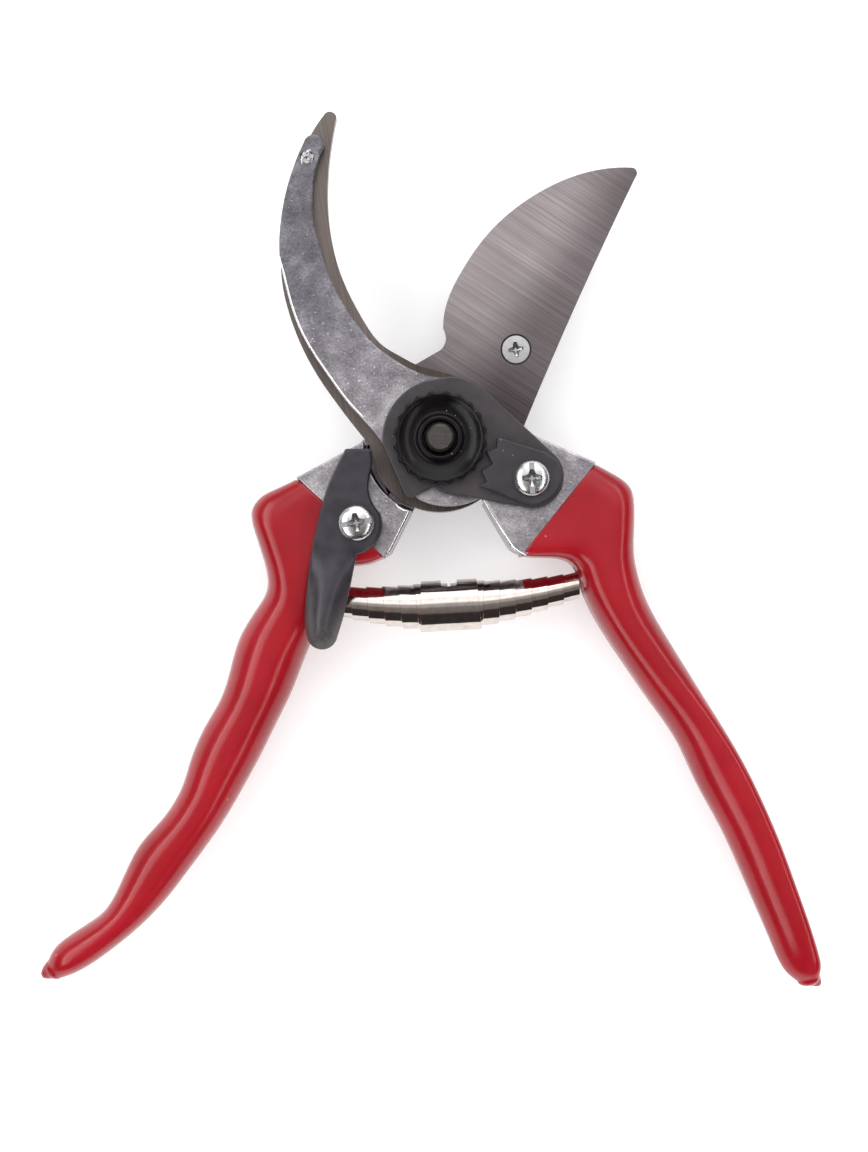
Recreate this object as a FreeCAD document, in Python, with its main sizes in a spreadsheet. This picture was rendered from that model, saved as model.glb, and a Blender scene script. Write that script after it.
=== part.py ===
"""Bypass pruning shears, lying on their side and sprung open.

The frame has its origin on the pivot axis, at the underside of the pivot bolt's head, with +Z along the
bolt and +Y towards the blade's point. The blade handle is the lower left one, and carries the cutting blade
and the locking lever. The hook handle is the lower right one, and carries the counter-blade and the nut.
"""

import FreeCAD, Part
import math
import os

import Sketcher
from FreeCAD import Placement, Rotation, Vector

# Driving dimensions, in millimetres and degrees.
SIZES = {
    "shear_level": 13.6,  # height of the plane in which the two blades slide on each other
    "slide_gap": 0.06,
    "blade_thick": 3.0,
    "anvil_thick": 3.0,
    "arm_thick": 6.5,
    "boss_radius": 13.0,
    "blade_boss_radius": 15.0,
    "recess_radius": 16.1,
    "closing_angle": 56.0,
    "wall_offset": 1.3,
    "coat_thick": 1.0,
    "shoulder_radius": 4.5,  # of the pivot bolt, where the blades turn
    "shoulder_clearance": 0.04,
    "neck_radius": 4.2,
    "neck_flats": 7.0,
    "bolt_end_chamfer": 0.6,
    "thread_radius": 3.05,
    "bolt_head_flats": 12.0,
    "bolt_head_height": 3.4,
    "bolt_length": 29.3,
    "pivot_washer_thick": 0.6,
    "pivot_washer_radius": 8.5,
    "plate_thick": 2.2,
    "plate_radius": 12.1,
    "plate_end_radius": 6.5,
    "nut_radius": 10.0,
    "nut_height": 3.3,
    "nut_dish_radius": 8.5,
    "nut_dish_foot_radius": 5.2,
    "nut_floor": 1.9,
    "nut_hub_radius": 4.5,
    "nut_hub_height": 2.8,
    "nut_teeth": 20,
    "tooth_gap_radius": 1.35,
    "tooth_gap_place": 10.55,
    "segment_thick": 1.5,
    "rivet_radius": 1.5,
    "tip_rivet_drop": 3.2,  # how far the hook arm has thinned at its tip rivet
    "screw_radius": 2.0,
    "screw_length": 8.0,
    "pan_head_radius": 3.75,
    "pan_head_height": 2.3,
    "cross_depth": 1.3,
    "blade_screw_head_radius": 3.1,
    "lever_thick": 3.2,
    "thumb_rise": 1.4,
    "disc_spring_height": 1.0,
    "disc_spring_thick": 0.35,
    "disc_spring_radius": 4.6,
    "bevel_land": 0.5,  # thickness of the blade left in front of the bevel
    "screw_shoulder_radius": 2.6,
    "screw_shoulder_clearance": 0.05,
    "countersink_depth": 1.3,
    "countersink_gap": 0.2,
    "sleeve_length": 12.5,
    "strip_width": 8.0,
    "strip_thick": 0.3,
    "strip_radial_step": 0.44,  # from each turn of the spring to the one inside it
    "strip_axial_step": 3.5,
    "spring_radius": 5.25,
    "socket_radius": 3.9,
    "peg_radius": 1.7,
}

doc = FreeCAD.newDocument("pruning_shears")
sheet = doc.addObject("Spreadsheet::Sheet", "Sizes")
for row, (alias, number) in enumerate(SIZES.items(), start=1):
    sheet.set(f"A{row}", alias)
    sheet.set(f"B{row}", str(number))
    sheet.setAlias(f"B{row}", alias)
doc.recompute()


# --- sizes: a size is written as a sum of aliases, such as "shear_level -blade_thick" ---


def value(terms):
    """The number that a sum of aliases stands for."""
    total = 0.0
    for term in terms.split():
        sign = -1.0 if term.startswith("-") else 1.0
        total += sign * float(getattr(sheet, term.lstrip("-")))
    return total


def formula(terms):
    """The same sum as an expression that a property can be bound to."""
    parts = [("- " if t.startswith("-") else "+ ") + "Sizes." + t.lstrip("-") for t in terms.split()]
    return " ".join(parts).lstrip("+ ")


def polar(radius, degrees):
    a = math.radians(degrees)
    return (radius * math.cos(a), radius * math.sin(a))


def flat(point, z=0.0):
    return Vector(point[0], point[1], z)


# Heights that several pieces share.
SHEAR = value("shear_level")
ARM_FLOOR = value("shear_level -blade_thick -arm_thick")
ARM_TOP = value("shear_level anvil_thick arm_thick slide_gap")
PLATE_TOP = ARM_TOP + value("plate_thick")
PAD_BOTTOM = ARM_FLOOR + value("slide_gap")
PAD_TOP = ARM_TOP - value("slide_gap")
PIVOT = Vector(0, 0, 0)

# Places, in the plane of the shears.
BLADE_SCREW = (16.4, 20.1)
SEGMENT_SCREW = (19.1, -8.4)
LEVER_SCREW = (-17.4, -17.7)
SPRING_LEFT = (-27.0, -32.5)
SPRING_RIGHT = (31.0, -30.6)
SPRING_SAG = 3.0
HOOK_WALL_ANGLE = -59.5
BLADE_WALL_ANGLE = HOOK_WALL_ANGLE - value("closing_angle") - 1.0


def wall_point(angle, distance):
    """A point on the wall where the two handles meet when the shears are closed."""
    along = polar(1.0, angle)
    offset = value("wall_offset")
    return (-offset * along[1] + distance * along[0], offset * along[0] + distance * along[1])


# --- building blocks ---


def curve(piece):
    """One stretch of an outline, as a curve. Each is a kind and its points."""
    kind, *points = piece
    points = [flat(p) for p in points]
    if kind == "line":
        return Part.LineSegment(*points)
    if kind == "arc":
        return Part.Arc(*points)
    spline = Part.BSplineCurve()
    spline.interpolate(points)
    return spline


def wire_of(outline, z=0.0):
    wire = Part.Wire([curve(piece).toShape() for piece in outline])
    wire.translate(Vector(0, 0, z))
    return wire


def prism(outline, low, high):
    return Part.Face(wire_of(outline, low)).extrude(Vector(0, 0, high - low))


def polygon(points):
    closed = list(points) + [points[0]]
    return [("line", a, b) for a, b in zip(closed, closed[1:])]


def cylinder(radius, low, high, at=(0, 0)):
    return Part.makeCylinder(radius, high - low, flat(at, low))


def new_body(label):
    body = doc.addObject("PartDesign::Body", label)
    body.Label = label
    return body


def new_sketch(body, name, level="", role="XY_Plane"):
    plane = next(f for f in body.Origin.OriginFeatures if f.Role == role)
    sketch = body.newObject("Sketcher::SketchObject", name)
    sketch.AttachmentSupport = [(plane, "")]
    sketch.MapMode = "FlatFace"
    if level:
        sketch.setExpression("AttachmentOffset.Base.z", formula(level))
    return sketch


def add_outline(sketch, outline):
    for piece in outline:
        sketch.addGeometry(curve(piece))


def add_circle(sketch, radius, at=(0, 0)):
    """A circle whose radius is bound to the sheet."""
    index = sketch.addGeometry(Part.Circle(flat(at), Vector(0, 0, 1), value(radius)))
    bound = sketch.addConstraint(Sketcher.Constraint("Radius", index, value(radius)))
    sketch.setExpression(f"Constraints[{bound}]", formula(radius))


def pad(body, sketch, length):
    feature = body.newObject("PartDesign::Pad", "Pad")
    feature.Profile = sketch
    feature.setExpression("Length", formula(length))
    return feature


def pocket(body, sketch, length, upwards=False, taper=0.0):
    feature = body.newObject("PartDesign::Pocket", "Pocket")
    feature.Profile = sketch
    feature.setExpression("Length", formula(length))
    feature.Reversed = upwards
    feature.TaperAngle = taper
    doc.recompute()
    return feature


def turn(body, name, profile, groove=False):
    """Turns a profile about the body's own Z axis.

    Each corner of the profile is a radius and a height. Each of those is a sum of aliases, or "0".
    """
    sketch = new_sketch(body, name, role="XZ_Plane")
    corners = [[0.0 if terms == "0" else value(terms) for terms in corner] for corner in profile]
    count = len(corners)
    for i in range(count):
        sketch.addGeometry(Part.LineSegment(flat(corners[i]), flat(corners[(i + 1) % count])))
    for i in range(count):
        sketch.addConstraint(Sketcher.Constraint("Coincident", i, 2, (i + 1) % count, 1))
    for i, corner in enumerate(profile):
        for kind, terms, number, axis in (
            ("DistanceX", corner[0], corners[i][0], -2),
            ("DistanceY", corner[1], corners[i][1], -1),
        ):
            if terms == "0":
                sketch.addConstraint(Sketcher.Constraint("PointOnObject", i, 1, axis))
            else:
                bound = sketch.addConstraint(Sketcher.Constraint(kind, -1, 1, i, 1, number))
                sketch.setExpression(f"Constraints[{bound}]", formula(terms))
    kind = "PartDesign::Groove" if groove else "PartDesign::Revolution"
    feature = body.newObject(kind, "Groove" if groove else "Revolution")
    feature.Profile = sketch
    feature.ReferenceAxis = (sketch, ["V_Axis"])
    feature.Angle = 360.0
    doc.recompute()
    return feature


def soften(body, feature, size, height, kind="PartDesign::Chamfer"):
    """Breaks every edge of a feature that lies wholly at one height."""
    doc.recompute()
    names = []
    for number, edge in enumerate(feature.Shape.Edges, start=1):
        box = edge.BoundBox
        if abs(box.ZMin - height) < 1e-4 and abs(box.ZMax - height) < 1e-4:
            names.append(f"Edge{number}")
    dressed = body.newObject(kind, kind.split("::")[1])
    dressed.Base = (feature, names)
    if kind.endswith("Chamfer"):
        dressed.Size = size
    else:
        dressed.Radius = size
    doc.recompute()
    return dressed


def shaped(label, shape):
    """A sub-part that is neither padded nor turned."""
    feature = doc.addObject("Part::Feature", label)
    feature.Label = label
    feature.Shape = shape
    return feature


# --- grips: a dipped coating over a forged tang ---

# Each station across a grip is its inner edge, its outer edge, its half height, and how square the inner and
# outer sides of its section are: 2 is an ellipse, and more is squarer.
HOOK_STATIONS = [
    ((18.1, -24.4), (32.8, -4.8), 10.2, 8.0, 8.0),
    ((22.2, -24.7), (37.0, -7.0), 10.2, 7.0, 7.0),
    ((25.4, -25.0), (40.2, -9.3), 10.2, 6.0, 6.0),
    ((27.8, -25.9), (41.4, -12.6), 10.2, 5.0, 5.0),
    ((29.1, -27.4), (41.5, -17.4), 10.15, 4.0, 4.4),
    ((29.9, -29.8), (41.4, -22.8), 10.0, 3.4, 4.0),
    ((31.0, -33.2), (42.4, -28.6), 9.8, 3.0, 3.6),
    ((33.8, -38.9), (44.6, -34.6), 9.3, 2.7, 3.3),
    ((38.9, -46.8), (48.3, -41.2), 8.8, 2.5, 3.0),
    ((44.9, -55.5), (53.7, -50.0), 8.5, 2.4, 2.9),
    ((50.8, -64.1), (59.2, -59.0), 8.3, 2.4, 2.8),
    ((54.9, -72.7), (64.0, -67.3), 8.1, 2.4, 2.8),
    ((59.6, -81.4), (68.8, -77.0), 7.9, 2.4, 2.7),
    ((63.7, -90.0), (72.8, -86.4), 7.6, 2.3, 2.6),
    ((67.4, -98.6), (76.1, -95.3), 7.2, 2.3, 2.5),
    ((71.0, -107.0), (79.3, -104.3), 6.6, 2.2, 2.4),
    ((72.8, -111.2), (80.8, -108.9), 5.9, 2.1, 2.2),
    ((74.6, -114.0), (81.5, -112.0), 4.8, 2.0, 2.0),
    ((76.9, -115.9), (81.3, -114.6), 2.9, 2.0, 2.0),
]
BLADE_STATIONS = [
    ((-12.0, -24.5), (-30.2, -8.0), 10.2, 8.0, 8.0),
    ((-16.4, -25.1), (-34.8, -10.1), 10.2, 7.0, 7.0),
    ((-19.8, -26.0), (-38.6, -12.2), 10.2, 6.0, 6.0),
    ((-22.0, -27.7), (-40.3, -15.3), 10.2, 5.0, 5.0),
    ((-23.1, -29.9), (-39.6, -19.3), 10.15, 4.0, 4.4),
    ((-23.8, -32.4), (-38.1, -24.0), 10.0, 3.4, 4.0),
    ((-24.6, -35.4), (-36.9, -29.3), 9.8, 3.0, 3.6),
    ((-26.5, -40.2), (-38.7, -34.8), 9.3, 2.7, 3.3),
    ((-29.2, -46.6), (-42.7, -41.3), 8.9, 2.5, 3.0),
    ((-32.0, -53.8), (-45.0, -48.6), 8.6, 2.4, 2.9),
    ((-35.2, -60.4), (-47.1, -55.0), 8.4, 2.4, 2.8),
    ((-38.9, -67.9), (-50.8, -61.6), 8.2, 2.4, 2.8),
    ((-42.4, -74.3), (-53.6, -68.3), 8.0, 2.4, 2.7),
    ((-45.6, -79.9), (-55.5, -74.1), 7.7, 2.3, 2.6),
    ((-49.6, -85.9), (-59.3, -80.4), 7.4, 2.3, 2.6),
    ((-54.4, -92.4), (-64.3, -86.2), 7.1, 2.3, 2.5),
    ((-58.8, -98.1), (-67.6, -92.3), 6.8, 2.3, 2.4),
    ((-63.6, -103.2), (-70.8, -98.8), 6.5, 2.2, 2.3),
    ((-69.6, -108.3), (-75.1, -103.0), 6.2, 2.2, 2.2),
    ((-75.0, -112.2), (-80.2, -106.4), 5.6, 2.1, 2.1),
    ((-78.9, -114.3), (-83.1, -109.1), 4.6, 2.0, 2.0),
    ((-81.5, -115.2), (-84.3, -111.4), 2.9, 2.0, 2.0),
]
SECTION_POINTS = 24


def power(number, exponent):
    return math.copysign(abs(number) ** exponent, number)


def section(station, inset):
    """One cross-section of a grip as a closed wire, pulled in by inset."""
    (inner, outer, half_height, square_in, square_out) = station
    centre = (flat(inner) + flat(outer)) * 0.5
    across = flat(outer) - flat(inner)
    half_width = across.Length / 2 - inset
    across.normalize()
    points = []
    for i in range(SECTION_POINTS):
        a = 2 * math.pi * i / SECTION_POINTS
        square = square_out if math.cos(a) > 0 else square_in
        reach = half_width * power(math.cos(a), 2 / square)
        rise = (half_height - inset) * power(math.sin(a), 2 / square)
        points.append(centre + across * reach + Vector(0, 0, SHEAR + rise))
    spline = Part.BSplineCurve()
    spline.interpolate(Points=points, PeriodicFlag=True)
    return Part.Wire([spline.toShape()])


def grip_solid(stations, inset):
    return Part.makeLoft([section(s, inset) for s in stations], True, False)


def tang_solid(stations, inset):
    """The part of the forging that the coating covers. It stops short of the grip's end by the coating."""
    return Part.makeLoft([section(s, inset) for s in stations[:-1]], True, False)


def drip(stations):
    """The small bead that dipping leaves at the grip's end."""
    inner, outer = stations[-1][0], stations[-1][1]
    before = stations[-2]
    middle = (flat(inner) + flat(outer)) * 0.5
    ahead = middle - (flat(before[0]) + flat(before[1])) * 0.5
    ahead.normalize()
    centre = middle + ahead * 0.2
    return Part.makeSphere(1.7, centre + Vector(0, 0, SHEAR))


# --- the spring's places and its two sockets ---


def spring_arc():
    """Centre, radius and end angles of the arc that the spring's axis follows, sagging away from the pivot."""
    left, right = flat(SPRING_LEFT), flat(SPRING_RIGHT)
    half = (right - left).Length / 2
    radius = (half * half + SPRING_SAG * SPRING_SAG) / (2 * SPRING_SAG)
    middle = (left + right) * 0.5
    along = (right - left).normalize()
    up = Vector(-along.y, along.x, 0)
    centre = middle + up * (radius - SPRING_SAG)
    start = math.atan2(left.y - centre.y, left.x - centre.x)
    end = math.atan2(right.y - centre.y, right.x - centre.x)
    return centre, radius, start, end


def spring_place(distance):
    """A point on the spring's axis, this far from its middle, with the axis's direction and outward normal."""
    centre, radius, start, end = spring_arc()
    a = (start + end) / 2 + distance / radius
    outward = Vector(math.cos(a), math.sin(a), 0)
    return centre + outward * radius + Vector(0, 0, SHEAR), Vector(-math.sin(a), math.cos(a), 0), outward


SPRING_HALF = spring_arc()[1] * (spring_arc()[3] - spring_arc()[2]) / 2
BENDS_PER_TURN = 4
POINTS_PER_BEND = 6
STRIP_START = 0.3  # where each strip begins, beside the middle of the sleeve


def along_spring(radius, start, end):
    """A round bar on the spring's axis."""
    point, direction, _ = spring_place(start)
    if end < start:
        direction = direction * -1
    return Part.makeCylinder(radius, abs(end - start), point, direction)


def volute(side):
    """One strip of the spring, wound from its widest turn at the middle down to its small end.

    side is -1 for the left strip and 1 for the right one.
    """
    turns = (SPRING_HALF - value("sleeve_length") / 2) / value("strip_axial_step")
    bends = math.ceil(turns * BENDS_PER_TURN)
    faces = [strip_end(side, 0.0), strip_end(side, turns)]
    for k in range(bends):
        steps = [turns * (k + j / POINTS_PER_BEND) / bends for j in range(POINTS_PER_BEND + 1)]
        rims = [strip_rim(side, turned) for turned in steps]
        edges = []
        for corner in range(4):
            spline = Part.BSplineCurve()
            # All four rails are timed alike, so that the surfaces ruled between them run straight across.
            spline.interpolate(Points=[rim[corner] for rim in rims], Parameters=steps)
            edges.append(spline.toShape())
        faces += [Part.makeRuledSurface(edges[corner - 1], edges[corner]) for corner in range(4)]
    shell = Part.makeShell(faces)
    shell.sewShape()
    solid = Part.makeSolid(shell)
    if solid.Volume < 0:
        solid.reverse()
    return solid


def strip_rim(side, turned):
    """The four corners of the strip's section after this many turns."""
    radius = value("spring_radius -strip_thick -slide_gap") - value("strip_radial_step") * turned
    far = value("sleeve_length") / 2 + value("strip_axial_step") * turned
    near = max(far - value("strip_width"), STRIP_START)
    a = 2 * math.pi * turned
    corners = []
    inside = radius - value("strip_thick")
    for r, x in ((radius, far), (radius, near), (inside, near), (inside, far)):
        point, _, outward = spring_place(side * x)
        corners.append(point + outward * (r * math.cos(a)) + Vector(0, 0, r * math.sin(a)))
    return corners


def strip_end(side, turned):
    rim = strip_rim(side, turned)
    return Part.Face(Part.makePolygon(rim + [rim[0]]))


# --- forgings ---


def outline_hook_arm():
    """The forged arm over the counter-blade, with its boss and the root of its pad."""
    boss = value("boss_radius")
    top, turn_off = polar(boss, 90), polar(boss, 54)
    heel, left = polar(13.3, 250), (-12.3, -0.4)
    wall_in = wall_point(HOOK_WALL_ANGLE, 14.8)
    wall_out = wall_point(HOOK_WALL_ANGLE, 15.6)
    return [
        ("arc", top, polar(boss, 72), turn_off),
        ("line", turn_off, (17.0, 2.6)),
        ("line", (17.0, 2.6), (20.8, 0.4)),
        ("line", (20.8, 0.4), (24.0, -9.0)),
        ("line", (24.0, -9.0), (14.0, -16.0)),
        ("line", (14.0, -16.0), wall_out),
        ("line", wall_out, wall_in),
        ("arc", wall_in, polar(14.0, -84), heel),
        ("spline", heel, (-8.4, -8.0), (-10.6, -3.6)),
        ("line", (-10.6, -3.6), left),
        ("spline", left, (-16.3, 4.5), (-19.5, 8.0), (-23.6, 13.6), (-27.4, 19.2), (-30.4, 25.3), (-32.7, 33.0),
         (-33.9, 39.5), (-33.8, 45.0), (-33.0, 50.8), (-31.3, 57.2), (-28.9, 63.0)),
        ("arc", (-28.9, 63.0), (-26.3, 64.9), (-24.6, 62.4)),
        ("spline", (-24.6, 62.4), (-25.8, 59.6), (-26.7, 54.7), (-27.0, 50.0), (-26.5, 45.0), (-25.1, 39.9),
         (-23.0, 33.8), (-19.9, 27.8), (-16.4, 22.9), (-12.8, 19.2), (-8.3, 16.0), (-4.4, 14.0), top),
    ]


def hook_pad():
    """The full-height block between the hook arm's boss and the grip."""
    wall_in = wall_point(HOOK_WALL_ANGLE, 15.0)
    wall_out = wall_point(HOOK_WALL_ANGLE, 28.0)
    mouth = HOOK_STATIONS[0]
    return polygon([wall_in, wall_out, mouth[0], mouth[1], (20.8, 0.4), (15.9, -2.2)])


def blade_arm():
    """The forged arm behind the blade, with its boss and the root of its pad."""
    boss = value("boss_radius")
    wall_in = wall_point(BLADE_WALL_ANGLE, 13.2)
    wall_out = wall_point(BLADE_WALL_ANGLE, 15.6)
    right, heel = polar(boss, -8), polar(boss, 128)
    return [
        ("spline", right, (15.4, 3.2), (20.4, 13.5), (26.0, 26.0)),
        ("arc", (26.0, 26.0), (24.4, 31.2), (19.6, 30.2)),
        ("spline", (19.6, 30.2), (12.0, 23.6), (3.0, 17.0), heel),
        ("line", heel, (-17.2, 0.2)),
        ("line", (-17.2, 0.2), (-24.0, -9.0)),
        ("line", (-24.0, -9.0), (-14.0, -18.0)),
        ("line", (-14.0, -18.0), wall_out),
        ("line", wall_out, wall_in),
        ("arc", wall_in, polar(boss, -48), right),
    ]


def blade_pad():
    wall_in = wall_point(BLADE_WALL_ANGLE, 14.6)
    wall_out = wall_point(BLADE_WALL_ANGLE, 27.0)
    mouth = BLADE_STATIONS[0]
    return polygon([wall_in, (-16.0, -0.5), (-16.9, -0.8), mouth[1], mouth[0], wall_out])


def hook_forging():
    low, high = PAD_BOTTOM, ARM_TOP
    seat = value("shear_level slide_gap anvil_thick")
    arm = prism(outline_hook_arm(), seat, high)
    # The hook arm thins towards its tip.
    side = [(14.0, high), (72.0, high - 3.6), (72.0, high + 5.0), (14.0, high + 5.0), (14.0, high)]
    slope = Part.Face(Part.makePolygon([Vector(-45.0, y, z) for y, z in side]))
    arm = arm.cut(slope.extrude(Vector(50.0, 0, 0)))
    block = prism(hook_pad(), low, high)
    block = block.cut(cylinder(value("recess_radius"), low - 1, seat))
    body = arm.fuse(block).fuse(tang_solid(HOOK_STATIONS, value("coat_thick")))
    neck = cylinder(value("neck_radius"), seat - 1, high + 1)
    flats = Part.makeBox(20, value("neck_flats"), 20, Vector(-10, -value("neck_flats") / 2, seat - 2))
    body = body.cut(neck.common(flats))
    body = body.cut(cylinder(value("screw_radius"), high - 8.5, high + 1, SEGMENT_SCREW))
    for place in RIVETS:
        body = body.cut(cylinder(value("rivet_radius"), seat - 1, high + 1, place))
    body = body.cut(socket(1))
    return body.fuse(peg(1)).Solids[0]


def blade_forging():
    low, high = ARM_FLOOR, PAD_TOP
    seat = value("shear_level -blade_thick")
    arm = prism(blade_arm(), low, seat)
    block = prism(blade_pad(), low, high)
    block = block.cut(cylinder(value("recess_radius"), seat, high + 1))
    body = arm.fuse(block).fuse(tang_solid(BLADE_STATIONS, value("coat_thick")))
    body = body.cut(cylinder(value("shoulder_radius shoulder_clearance"), low - 1, seat + 1))
    body = body.cut(cylinder(value("screw_radius"), low - 1, seat + 1, BLADE_SCREW))
    body = body.cut(cylinder(value("screw_radius"), high - 8.5, high + 1, LEVER_SCREW))
    body = body.cut(socket(-1))
    return body.fuse(peg(-1)).Solids[0]


SOCKET_DEPTH = 3.4
RIVETS = [(-28.1, 60.0), (-4.8, 7.6), (8.6, 2.2)]


def socket(side):
    """The blind hole in a grip that one end of the spring sits in."""
    bottom = side * (SPRING_HALF + 0.25)
    return along_spring(value("socket_radius"), bottom, bottom - side * (SOCKET_DEPTH + 3.0))


def peg(side):
    """The stud at the bottom of a socket, inside the spring's end."""
    bottom = side * (SPRING_HALF + 0.25)
    return along_spring(value("peg_radius"), bottom + side * 0.8, bottom - side * (SOCKET_DEPTH + 1.0))


def lever_washer_room():
    """The space around the lever's screw, where the coating is trimmed away."""
    return cylinder(value("disc_spring_radius disc_spring_thick"), PAD_TOP - 1.0, PAD_TOP + 5.0, LEVER_SCREW)


def coating(stations, side):
    """The skin over a tang, open where the spring's socket goes through it."""
    skin = grip_solid(stations, 0.0).fuse(drip(stations))
    skin = skin.cut(tang_solid(stations, value("coat_thick")))
    return skin.cut(socket(side)).cut(lever_washer_room()).Solids[0]


# --- padded and turned pieces ---

FIRST_TOOTH = -16.0


COUNTERSINK_TAPER = -41.0


def build_blade():
    body = new_body("cutting_blade")
    boss = value("blade_boss_radius")
    right, left = polar(boss, -6), polar(boss, 146)
    edge = [
        (41.4, 59.25), (33.2, 58.6), (26.3, 56.4), (18.5, 52.1),
        (11.0, 45.7), (4.8, 37.1), (1.2, 29.0), (0.7, 24.6),
    ]
    outline = [
        ("spline", *edge),
        ("arc", edge[-1], (1.3, 22.4), (0.2, 20.0)),
        ("line", (0.2, 20.0), (-5.2, 16.9)),
        ("arc", (-5.2, 16.9), (-9.6, 13.5), left),
        ("arc", left, polar(boss, 250), right),
        ("line", right, (18.2, 3.8)),
        ("arc", (18.2, 3.8), (29.8, 30.8), (42.2, 57.3)),
        ("arc", (42.2, 57.3), (42.3, 58.7), edge[0]),
    ]
    base = new_sketch(body, "blade_outline", "shear_level -blade_thick")
    add_outline(base, outline)
    pad(body, base, "blade_thick")
    doc.recompute()
    # The bevel is ground on the back, away from the counter-blade.
    inset = [
        (44.0, 58.6), (35.4, 54.6), (29.6, 51.4), (22.4, 46.8),
        (15.6, 41.0), (10.0, 33.8), (6.2, 27.4), (4.4, 23.2),
    ]
    outside = [(44.0, 60.2)] + [(x - 0.25, y + 0.3) for x, y in edge[1:-1]] + [(0.3, 24.6)]
    far = [(-12.0, 25.4), (-12.0, 75.0), (46.0, 75.0)]
    back = new_sketch(body, "bevel_back", "shear_level -blade_thick")
    add_outline(back, bevel_side(inset, far))
    front = new_sketch(body, "bevel_front", "shear_level -bevel_land")
    add_outline(front, bevel_side(outside, far))
    bevel = body.newObject("PartDesign::SubtractiveLoft", "Bevel")
    bevel.Profile = back
    bevel.Sections = [front]
    bevel.Ruled = True
    doc.recompute()
    holes = new_sketch(body, "holes", "shear_level")
    add_circle(holes, "shoulder_radius shoulder_clearance")
    add_circle(holes, "screw_radius", BLADE_SCREW)
    pocket(body, holes, "blade_thick blade_thick")
    sink = new_sketch(body, "countersink", "shear_level")
    add_circle(sink, "blade_screw_head_radius countersink_gap", BLADE_SCREW)
    pocket(body, sink, "countersink_depth", taper=COUNTERSINK_TAPER)
    return body


def bevel_side(near, far):
    return [
        ("spline", *near),
        ("line", near[-1], far[0]),
        ("line", far[0], far[1]),
        ("line", far[1], far[2]),
        ("line", far[2], near[0]),
    ]


def build_counter_blade():
    body = new_body("counter_blade")
    boss = value("blade_boss_radius")
    right, left = polar(boss, -5), polar(boss, 183)
    outline = [
        ("spline", (5.9, 13.2), (3.0, 14.1), (-0.4, 15.1), (-4.9, 16.4), (-8.5, 18.3), (-12.0, 20.4),
         (-16.5, 26.2), (-20.8, 34.8), (-23.6, 46.0), (-24.0, 54.1), (-23.4, 62.0), (-22.1, 69.3)),
        ("arc", (-22.1, 69.3), (-23.2, 70.5), (-24.7, 69.9)),
        ("spline", (-24.7, 69.9), (-28.4, 64.0), (-31.6, 55.0), (-33.4, 45.0), (-33.9, 36.3), (-32.8, 29.5),
         (-30.7, 23.1), (-28.0, 17.3), (-23.0, 9.5), (-18.6, 3.7)),
        ("line", (-18.6, 3.7), (-16.6, 1.2)),
        ("line", (-16.6, 1.2), left),
        ("arc", left, polar(boss, 290), right),
        ("arc", right, polar(14.7, 32), (5.9, 13.2)),
    ]
    base = new_sketch(body, "blade_outline", "shear_level slide_gap")
    add_outline(base, outline)
    pad(body, base, "anvil_thick")
    doc.recompute()
    holes = new_sketch(body, "holes", "shear_level slide_gap anvil_thick")
    add_circle(holes, "shoulder_radius shoulder_clearance")
    for place in RIVETS:
        add_circle(holes, "rivet_radius", place)
    pocket(body, holes, "anvil_thick anvil_thick")
    return body


def build_rivet(label, place, head):
    """A staked rivet that holds the counter-blade to its arm."""
    body = new_body(label)
    low = "shear_level slide_gap"
    high = "shear_level slide_gap anvil_thick arm_thick" + head
    turn(body, "rivet", [("0", low), ("rivet_radius", low), ("rivet_radius", high), ("0", high)])
    body.Placement = Placement(flat(place), Rotation())
    return body


def build_bolt():
    body = new_body("pivot_bolt")
    corner = value("bolt_head_flats") / math.sqrt(3)
    head = new_sketch(body, "hex_head")
    add_outline(head, polygon([polar(corner, 60 * k) for k in range(6)]))
    soften(body, pad(body, head, "bolt_head_height"), 0.8, 0.0)
    foot = "bolt_head_height"
    step = "shear_level slide_gap anvil_thick"
    turn(body, "shank", [
        ("0", foot),
        ("shoulder_radius", foot),
        ("shoulder_radius", step),
        ("thread_radius", step),
        ("thread_radius", "bolt_length -bolt_end_chamfer"),
        ("thread_radius -bolt_end_chamfer", "bolt_length"),
        ("0", "bolt_length"),
    ])
    neck = new_sketch(body, "neck_with_flats", step)
    add_outline(neck, neck_outline())
    pad(body, neck, "arm_thick")
    doc.recompute()
    return body


def neck_outline():
    """A circle with two flats, which keeps the bolt from turning in its arm."""
    half = value("neck_flats") / 2
    reach = math.sqrt(value("neck_radius") ** 2 - half * half)
    return [
        ("line", (reach, half), (-reach, half)),
        ("arc", (-reach, half), (-value("neck_radius"), 0.0), (-reach, -half)),
        ("line", (-reach, -half), (reach, -half)),
        ("arc", (reach, -half), (value("neck_radius"), 0.0), (reach, half)),
    ]


def build_washer():
    body = new_body("pivot_washer")
    low, high = "bolt_head_height", "bolt_head_height pivot_washer_thick"
    bore = "shoulder_radius shoulder_clearance"
    turn(body, "ring", [(bore, low), ("pivot_washer_radius", low), ("pivot_washer_radius", high), (bore, high)])
    return body


PLATE_END = (19.4, -7.9)  # the middle of the plate's round end


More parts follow.
